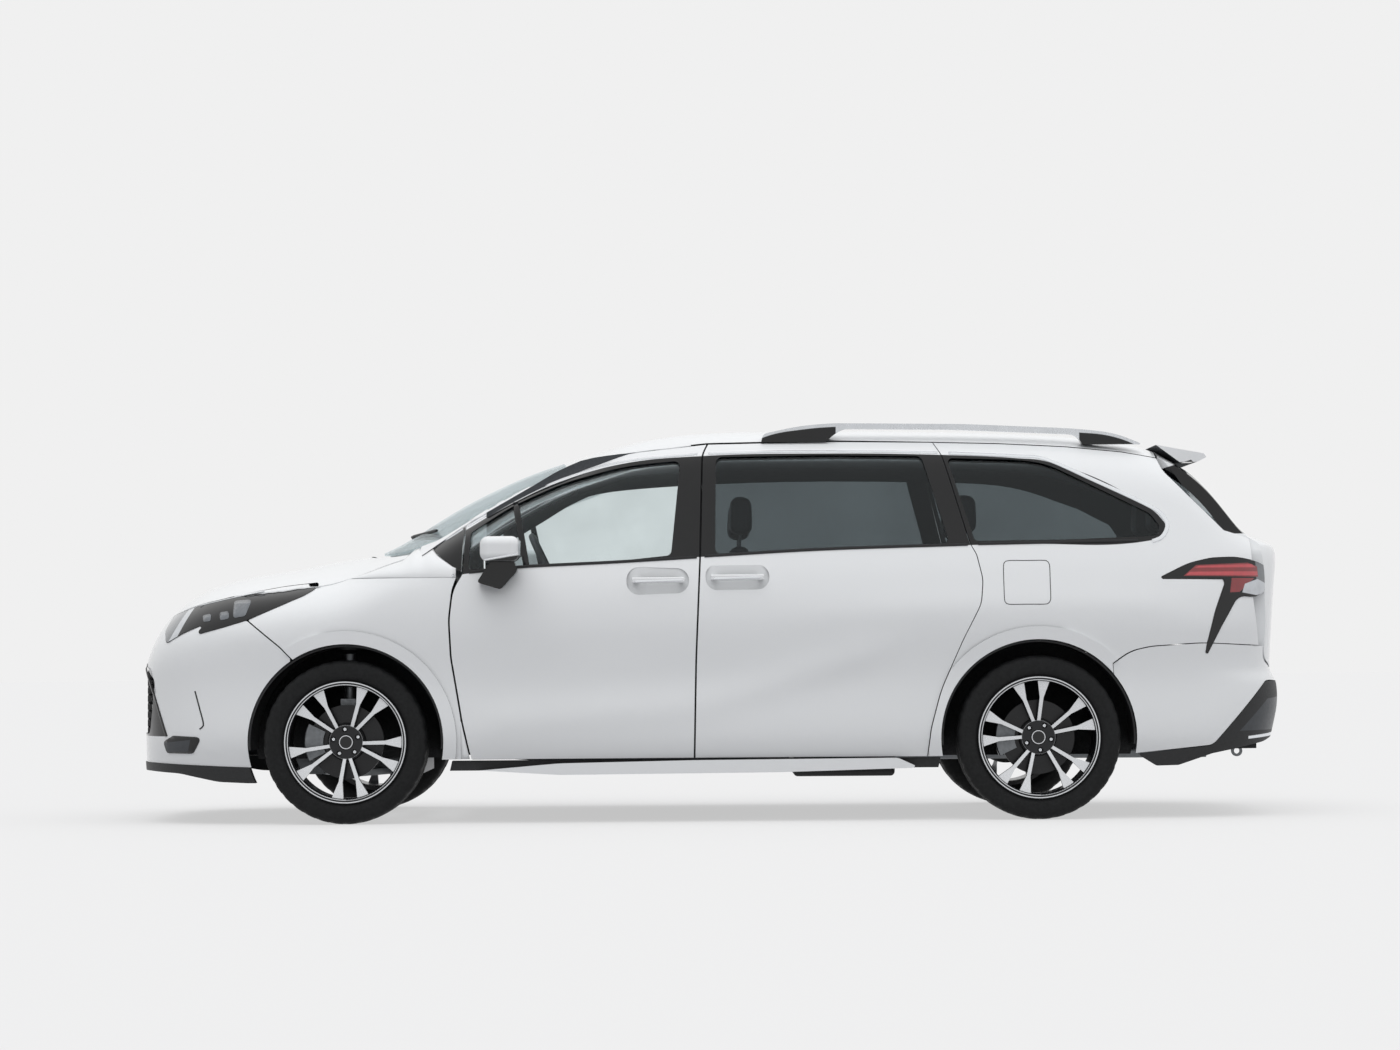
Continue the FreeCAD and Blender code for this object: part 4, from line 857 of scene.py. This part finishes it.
LINING = [(-1.000, 1.275), (-0.803, 1.390), (-0.656, 1.475), (-0.506, 1.525), (-0.135, 1.556), (0.400, 1.572),
          (1.000, 1.566), (1.450, 1.540), (1.800, 1.430)]
LINING_INSET = 0.070
FRONT_SEAM = [(-0.012, 1.672), (-0.036, 1.625), (-0.047, 1.170), (-0.068, 0.713), (-0.078, 0.290)]
REAR_SEAM = [(1.008, 1.675), (1.040, 1.618), (1.146, 1.226), (1.176, 1.172), (1.196, 1.120), (1.196, 1.000),
             (1.172, 0.905), (1.110, 0.790), (1.012, 0.570), (0.970, 0.405), (0.951, 0.290)]
for side, word in SIDES:
    seam_seal("seal_between_doors_" + word, FRONT_SEAM, 0.014, side, 0.0068)
    seam_seal("seal_behind_sliding_door_" + word, REAR_SEAM, 0.010, side, 0.0030)
    foot_panel("fender_foot_" + word, side)
    rows = []
    for p in curve_points(LINING, 0.06):
        inner = side * (abs(on_side(p.x, p.y, side)[0].y) - LINING_INSET)
        row = []
        for deep, up in ((0.0, 0.0), (0.006, -0.004), (0.012, 0.0), (0.040, 0.100), (0.030, 0.104)):
            row.append(Vector((p.x, inner - side * deep, p.y + up)))
        rows.append(row)
    swept("roof_lining_" + word, rows, trim_grey, "body", "matte_black")


# Forms that the frame lacks
ARCH_WALL_R = 0.440
RAY_TOP = 2.2
DOWN = Vector((0, 0, -1))


def liner_wall(name, axle, side, inner):
    """The wheelhouse's inner wall: a ribbed half disc behind the wheel."""
    outline = []
    for k in range(33):
        angle = math.pi * (-0.06 + 1.12 * k / 32)
        grow = ARCH_WALL_R - (0.004 if k % 4 == 0 else 0.0)
        outline.append((grow * math.cos(angle), grow * math.sin(angle)))
    rows = []
    for scale, deep in ((1.0, 0.0), (0.985, -0.006), (0.80, -0.008), (0.78, -0.002), (0.76, -0.008),
                        (0.30, -0.010)):
        rows.append([Vector((axle + x * scale, side * (inner + deep), AXLE_Z + z * scale))
                     for x, z in outline])
    back = [[Vector((v.x, v.y - side * 0.006, v.z)) for v in row] for row in reversed(rows)]
    swept(name, rows + back, underbody, "body", "underbody")


hood_tree = tree_of("hood")
pillar_tree = tree_of("roof_frame", "pillar_trims", "windscreen")
roof_tree = tree_of("roof_frame", "windscreen")
flank_tree = tree_of("fenders", "headlamps")


def top_hit(tree, x, side):
    """Outermost point of a tree's top at x, seen from above."""
    for k in range(132):
        above = Vector((x, side * (0.930 - 0.004 * k), RAY_TOP))
        hit, normal, _, _ = tree.ray_cast(above, DOWN, RAY_TOP - 1.0)
        if hit is not None and abs(normal.z) > 0.25:
            return hit
    return None


def roof_edge(x, side):
    """The last point along the roof's edge at x that lies behind a hollow or a step, going inwards."""
    found = None
    last = None
    for k in range(150):
        hit, _, _, _ = roof_tree.ray_cast(Vector((x, side * (0.900 - 0.004 * k), RAY_TOP)), DOWN, 1.3)
        if hit is not None and (last is None or abs(hit.z - last) > 0.016):
            found = hit
        last = None if hit is None else hit.z
    return found


def arched_row(start, bend, end, steps, back):
    """A closed row: an arch from start to end, and back again a little further in."""
    outer = []
    for j in range(steps + 1):
        t = j / steps
        outer.append(start * (1 - t) ** 2 + bend * 2 * t * (1 - t) + end * t * t)
    return outer + [v + back for v in reversed(outer)]


HOOD_REAR = -1.345
CROWN_FRONT = -2.130
CROWN_REAR = -1.128


def fender_crown(name, side):
    """Rounds the fender's top over to the hood's edge and the foot of the windscreen pillar."""
    rows = []
    for k in range(46):
        x = CROWN_FRONT + (CROWN_REAR - CROWN_FRONT) * k / 45
        low = None
        for j in range(60):
            z = 1.130 - 0.004 * j
            at = on_side(x, z, side, flank_tree)
            if at is not None and abs(at[0].y) > 0.55:
                low = Vector((x, at[0].y, z))
                break
        beside_hood = x < HOOD_REAR
        high = top_hit(hood_tree if beside_hood else pillar_tree, x, side)
        if low is None or high is None:
            continue
        high = Vector((x, high.y + side * (0.006 if beside_hood else -0.004), high.z - 0.003))
        if (low.y - high.y) * side < 0.004 or high.z < low.z - 0.06:
            continue
        start = Vector((x, low.y - side * 0.0005, low.z - 0.006))
        bend = Vector((x, low.y - side * 0.010, low.z + (high.z - low.z) * 0.72 + 0.004))
        rows.append(arched_row(start, bend, high, 8, Vector((0, -side * 0.001, -0.004))))
    swept(name, rows, plain_paint, "body", "body_paint")


COVER_FRONT = -1.215
COVER_REAR = -0.060


def pillar_cover(name, side, word):
    """Closes the windscreen pillar between the door's top edge and the roof frame."""
    door_tree = tree_of("front_door_" + word)
    rows = []
    for k in range(50):
        x = COVER_FRONT + (COVER_REAR - COVER_FRONT) * k / 49
        low = None
        for j in range(200):
            z = 1.760 - 0.003 * j
            hit, _, _, _ = door_tree.ray_cast(Vector((x, side * 1.4, z)), Vector((0, -side, 0)), 0.9)
            if hit is not None:
                low = Vector((x, hit.y, z))
                break
        high = roof_edge(x, side)
        if low is None or high is None or (low.y - high.y) * side < 0.010 or high.z < low.z:
            continue
        start = Vector((x, low.y - side * 0.003, low.z + 0.005))
        end = Vector((x, high.y - side * 0.004, high.z + 0.001))
        bend = Vector((x, low.y - side * 0.010, low.z + (end.z - low.z) * 0.62 + 0.004))
        rows.append(arched_row(start, bend, end, 6, Vector((0, -side * 0.002, -0.003))))
    swept(name, rows, plain_paint, "body", "body_paint")


FUEL_FLAP = [(1.293, 1.046), (1.294, 1.118), (1.300, 1.136), (1.318, 1.143), (1.395, 1.143), (1.474, 1.143),
             (1.491, 1.137), (1.498, 1.118), (1.498, 1.046), (1.498, 0.974), (1.491, 0.956), (1.474, 0.949),
             (1.395, 0.949), (1.318, 0.949), (1.300, 0.956), (1.294, 0.974), (1.293, 1.046)]
FOG = [(-2.394, 0.394, 0.02), (-2.257, 0.388, 0.02), (-2.299, 0.315, 0.02), (-2.427, 0.316, 0.02),
       (-2.445, 0.367, 0.02)]
VENT_EDGE = [(-2.290, 0.592), (-2.268, 0.515), (-2.250, 0.444), (-2.268, 0.424)]
GRILLE_FRAME = [(-2.556, 0.714), (-2.520, 0.632), (-2.486, 0.545), (-2.430, 0.392)]
WINDOW_BAR = [(-0.870, 1.421), (-0.842, 1.278), (-0.815, 1.130)]
FINE_GAP = 0.012
for side, word in SIDES:
    liner_wall("arch_wall_front_" + word, FRONT_AXLE, side, 0.545)
    liner_wall("arch_wall_rear_" + word, REAR_AXLE, side, 0.728)
    fender_crown("fender_crown_" + word, side)
    pillar_cover("pillar_cover_" + word, side, word)
    strip("window_bar_" + word, WINDOW_BAR, 0.028, 0.005, gloss_black, "front_door_" + word, side,
          slot="gloss_black")
    drape("fog_pocket_" + word, rounded(FOG), 0.003, fog_paint, "body", side, slot="gloss_black")
    strip("vent_edge_" + word, VENT_EDGE, 0.007, 0.0015, matte_black, "body", side, FINE_GAP, "matte_black")
    strip("grille_frame_" + word, GRILLE_FRAME, 0.018, 0.004, gloss_black, "body", side, FINE_GAP,
          "gloss_black")
strip("fuel_flap_seam", FUEL_FLAP, 0.0035, 0.0006, matte_black, "body", -1, FINE_GAP, "matte_black")


COMB_PITCH = 0.042
# Ring size and how far it stands out from the grille
COMB_RINGS = ((0.0235, 0.000), (0.0228, -0.007), (0.0192, -0.007), (0.0180, 0.000))


def honeycomb():
    """Hexagon cells over the grille, on its own face, round the plate."""
    tree = tree_of("grille")
    verts = []
    faces = []
    for row in range(9):
        z = 0.410 + row * COMB_PITCH * 0.866
        reach = 0.655 if z > 0.60 else 0.600
        for column in range(-17, 18):
            y = (column + (0.5 if row % 2 else 0.0)) * COMB_PITCH
            if abs(y) > reach or (abs(y) < 0.165 and 0.430 < z < 0.592):
                continue
            hit, _, _, _ = tree.ray_cast(Vector((-3.0, y, z)), Vector((1, 0, 0)), 1.0)
            if hit is None:
                continue
            base = len(verts)
            for size, out in COMB_RINGS:
                for k in range(6):
                    angle = math.pi / 3 * k + math.pi / 6
                    verts.append((hit.x + out, y + size * math.cos(angle), z + size * math.sin(angle)))
            for ring in range(3):
                low = base + ring * 6
                for k in range(6):
                    m = (k + 1) % 6
                    faces.append([low + k, low + m, low + 6 + m, low + 6 + k])
    new_object("grille_honeycomb", verts, faces, gloss_black, "body", smooth=False, slot="gloss_black")


PLATE_Z = 0.512
PLATE_HALF = (0.1525, 0.065)


def front_plate():
    """The blank plate and its holder in front of the grille."""
    y, z = PLATE_HALF
    outline = rounded([(-y, PLATE_Z - z, 0.012), (y, PLATE_Z - z, 0.012), (y, PLATE_Z + z, 0.012),
                       (-y, PLATE_Z + z, 0.012)])
    rows = []
    for x, grow in ((-2.5610, 0.90), (-2.5780, 0.97), (-2.5785, 1.0), (-2.5850, 1.0), (-2.5865, 0.985),
                    (-2.5855, 0.93)):
        rows.append([Vector((x, p.x * grow, PLATE_Z + (p.y - PLATE_Z) * grow)) for p in outline])
    swept("front_plate_blank", rows, gloss_black, "body", "gloss_black")


def rear_wiper():
    """Hub, arm and blade at the foot of the tailgate's glass."""
    tree = tree_of("rear_glass", "tailgate")

    def on_gate(y, z, lift):
        hit, _, _, _ = tree.ray_cast(Vector((3.0, y, z)), Vector((-1, 0, 0)), 1.6)
        return Vector((hit.x + lift, y, z))

    hub = on_gate(0.0, 1.268, 0.004)
    tip = on_gate(0.330, 1.330, 0.016)
    rear = Vector((1, 0, 0))
    for name, a, b, width, height, out, ends in (
            ("hub", hub - Vector((0.010, 0, 0)), hub + Vector((0.030, 0, 0.004)), 0.046, 0.046,
             Vector((0, 0, 1)), 0.9),
            ("arm", hub + Vector((0.024, 0, 0.004)), tip + Vector((0.006, 0, 0)), 0.016, 0.010, rear, 0.7),
            ("blade", on_gate(0.100, 1.330, 0.009), on_gate(0.500, 1.330, 0.009), 0.012, 0.010, rear, 0.7)):
        soft_bar("rear_wiper_" + name, a, b, width, height, matte_black, "tailgate", "matte_black", out, ends)


def windscreen_wipers():
    """Two blades at rest on the windscreen's foot."""
    tree = tree_of("windscreen")

    def on_screen(x, y):
        hit, _, _, _ = tree.ray_cast(Vector((x, y, RAY_TOP)), DOWN, 1.4)
        return Vector((x, y, hit.z + 0.012))

    for word, a, b in (("left", (-1.235, -0.560), (-1.385, -0.060)),
                       ("right", (-1.390, 0.060), (-1.265, 0.500))):
        soft_bar("wiper_blade_" + word, on_screen(*a), on_screen(*b), 0.016, 0.014, matte_black, "body",
                 "matte_black", Vector((-0.5, 0, 0.85)), 0.6)


honeycomb()
front_plate()
rear_wiper()
windscreen_wipers()


# Seats
def pad(name, outline, y0, y1, material, puff, seams=(), slot="seat_leather"):
    """A stuffed piece: an (x, z) outline drawn from y0 to y1, full in the middle and pulled in at seams."""
    closed = rounded(outline, 6)
    lengths = [(closed[(i + 1) % len(closed)] - p).length for i, p in enumerate(closed)]
    total = sum(lengths)
    count = 40
    even = []
    for k in range(count):
        goal = total * k / count
        i = 0
        while goal > lengths[i]:
            goal -= lengths[i]
            i += 1
        even.append(closed[i].lerp(closed[(i + 1) % len(closed)], goal / lengths[i] if lengths[i] else 0.0))
    middle = sum(even, Vector((0, 0))) / count
    rows = []
    steps = [-1, -0.975, -0.93, -0.86, -0.75, -0.62, -0.5, -0.38, -0.25, -0.12, 0]
    steps += [-s for s in reversed(steps[:-1])]
    half = (y1 - y0) / 2
    for s in steps:
        edge = max(0.0, (abs(s) - 0.86) / 0.14)
        pull = 0.030 * edge ** 2
        swell = puff * (1 - s * s)
        for seam in seams:
            swell -= 0.010 * math.exp(-((s - seam) / 0.05) ** 2)
        row = []
        for i, p in enumerate(even):
            a = even[i - 1]
            b = even[(i + 1) % count]
            normal = Vector((b.y - a.y, a.x - b.x)).normalized()
            if (p - middle).dot(normal) < 0:
                normal = -normal
            moved = p + normal * (swell - pull)
            row.append(Vector((moved.x, (y0 + y1) / 2 + s * half, moved.y)))
        rows.append(row)
    made = swept(name, rows, material, "body", slot)
    smooth = made.modifiers.new("smooth", "SUBSURF")
    smooth.levels = 1
    smooth.render_levels = 1
    return made


FLOOR_TOP = 0.345


def seat(name, x, y, half, replaced=None):
    z = FLOOR_TOP
    cushion = pad(name + "_cushion", [(x - 0.485, z + 0.205, 0.05), (x - 0.495, z + 0.325, 0.06),
                                      (x - 0.02, z + 0.290, 0.05), (x + 0.02, z + 0.205, 0.04)],
                  y - half, y + half, leather, 0.012, (-0.62, 0.62))
    pad(name + "_back", [(x - 0.020, z + 0.315, 0.05), (x + 0.115, z + 0.880, 0.08),
                         (x + 0.200, z + 0.875, 0.06), (x + 0.125, z + 0.270, 0.05),
                         (x + 0.050, z + 0.250, 0.04)],
        y - half + 0.012, y + half - 0.012, leather, 0.010, (-0.60, 0.60))
    pad(name + "_headrest", [(x + 0.110, z + 0.945, 0.04), (x + 0.122, z + 1.105, 0.05),
                             (x + 0.202, z + 1.098, 0.04), (x + 0.206, z + 0.940, 0.04)],
        y - 0.125, y + 0.125, leather, 0.008)
    pad(name + "_base", [(x - 0.430, z + 0.002, 0.02), (x - 0.440, z + 0.205, 0.03),
                         (x - 0.030, z + 0.205, 0.03), (x - 0.020, z + 0.002, 0.02)],
        y - half + 0.06, y + half - 0.06, matte_black, 0.0, slot="matte_black")
    for number, shift in enumerate((-0.05, 0.05)):
        soft_bar("%s_post_%d" % (name, number + 1), (x + 0.152, y + shift, z + 0.850),
                 (x + 0.160, y + shift, z + 0.965), 0.012, 0.012, steel, "body", "steel",
                 Vector((1, 0, 0)), 0.9)
    if replaced:
        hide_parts(replaced)


for x, name in ((-0.020, "front"), (1.000, "second")):
    seat("seat_%s_left" % name, x, -0.400, 0.245, "seats_" + name)
    seat("seat_%s_right" % name, x, 0.400, 0.245)
seat("seat_third_left", 1.900, -0.300, 0.292, "seats_third")
seat("seat_third_right", 1.900, 0.300, 0.292)


# Studio
SCREEN = srgb(240, 240, 240)
SUN = 0.9
FLOOR_GLOW = 0.62
FLOOR_LIT = 0.27
FLOOR_HALF = 90.0
# Place in metres, lens in millimetres, angles in degrees
CAMERA_AT = (-0.082, -17.98, 0.757)
CAMERA_LENS = 99.1
CAMERA_TURN = -0.119
CAMERA_TILT = 1.86
CAMERA_ROLL = -0.421


def seen_rays(n):
    """Rays that show the set itself: to the camera, in metal and through glass."""
    path = n.add("ShaderNodeLightPath")
    straight = calc(n, "MAXIMUM", path.outputs["Is Camera Ray"], path.outputs["Is Transmission Ray"])
    return calc(n, "MAXIMUM", straight, path.outputs["Is Glossy Ray"])


def studio():
    """A plain pale set: a soft sky, one broad sun from above and a floor that melts into the background."""
    world = bpy.data.worlds.new("studio")
    scene.world = world
    world.use_nodes = True
    n = Nodes(world.node_tree)
    coords = n.add("ShaderNodeTexCoord")
    split = n.add("ShaderNodeSeparateXYZ")
    n.link(coords.outputs["Generated"], split.inputs["Vector"])
    sky = n.add("ShaderNodeValToRGB")
    ramp = sky.color_ramp
    ramp.elements[0].position = 0.50
    ramp.elements[0].color = (0.40, 0.41, 0.42, 1.0)
    ramp.elements[1].position = 0.97
    ramp.elements[1].color = (1.45, 1.45, 1.47, 1.0)
    for place, colour in ((0.60, (0.46, 0.47, 0.48, 1.0)), (0.80, (1.05, 1.05, 1.07, 1.0)),
                          (0.90, (1.25, 1.25, 1.27, 1.0))):
        step = ramp.elements.new(place)
        step.color = colour
    n.link(ranged(n, split.outputs["Z"], -1.0, 1.0), sky.inputs["Fac"])
    ahead = ranged(n, split.outputs["X"], -0.95, -0.15, 0.36, 0.95, interpolation_type="SMOOTHSTEP")
    light = n.add("ShaderNodeBackground")
    n.link(sky.outputs["Color"], light.inputs["Color"])
    n.link(ahead, light.inputs["Strength"])
    plain = n.add("ShaderNodeBackground", Color=SCREEN)
    n.show("ShaderNodeOutputWorld",
           n.blend(seen_rays(n), light.outputs["Background"], plain.outputs["Background"]))

    mesh = bpy.data.meshes.new("floor")
    half = FLOOR_HALF
    corners = [(-half, -half, 0), (half, -half, 0), (half, half, 0), (-half, half, 0)]
    mesh.from_pydata(corners, [], [[0, 1, 2, 3]])
    floor = bpy.data.objects.new("floor", mesh)
    scene.collection.objects.link(floor)
    made, n = new_material("studio_floor")
    glow = n.add("ShaderNodeEmission", Color=SCREEN, Strength=FLOOR_GLOW)
    lit = n.add("ShaderNodeBsdfDiffuse", Color=(FLOOR_LIT, FLOOR_LIT, FLOOR_LIT, 1.0))
    both = n.add("ShaderNodeAddShader")
    n.link(glow.outputs["Emission"], both.inputs[0])
    n.link(lit.outputs["BSDF"], both.inputs[1])
    plain = n.add("ShaderNodeBsdfDiffuse", Color=(0.44, 0.44, 0.45, 1.0))
    n.show("ShaderNodeOutputMaterial", n.blend(seen_rays(n), plain.outputs["BSDF"], both.outputs["Shader"]))
    mesh.materials.append(made)

    data = bpy.data.lights.new("broad_sun", "SUN")
    data.energy = SUN
    data.angle = math.radians(50)
    lamp = bpy.data.objects.new("broad_sun", data)
    scene.collection.objects.link(lamp)
    lamp.rotation_mode = "QUATERNION"
    lamp.rotation_quaternion = Vector((0.12, 0.42, -1.0)).to_track_quat("-Z", "Y")
    lamp.visible_glossy = False

    cam = bpy.data.cameras.new("camera")
    cam.sensor_width = 36.0
    cam.sensor_fit = "HORIZONTAL"
    cam.lens = CAMERA_LENS
    cam.clip_end = 300.0
    viewer = bpy.data.objects.new("camera", cam)
    scene.collection.objects.link(viewer)
    turn = Matrix.Rotation(math.radians(CAMERA_TURN), 4, "Z")
    tilt = Matrix.Rotation(math.radians(90 + CAMERA_TILT), 4, "X")
    roll = Matrix.Rotation(math.radians(CAMERA_ROLL), 4, "Z")
    viewer.matrix_world = Matrix.Translation(CAMERA_AT) @ turn @ tilt @ roll
    scene.camera = viewer


studio()
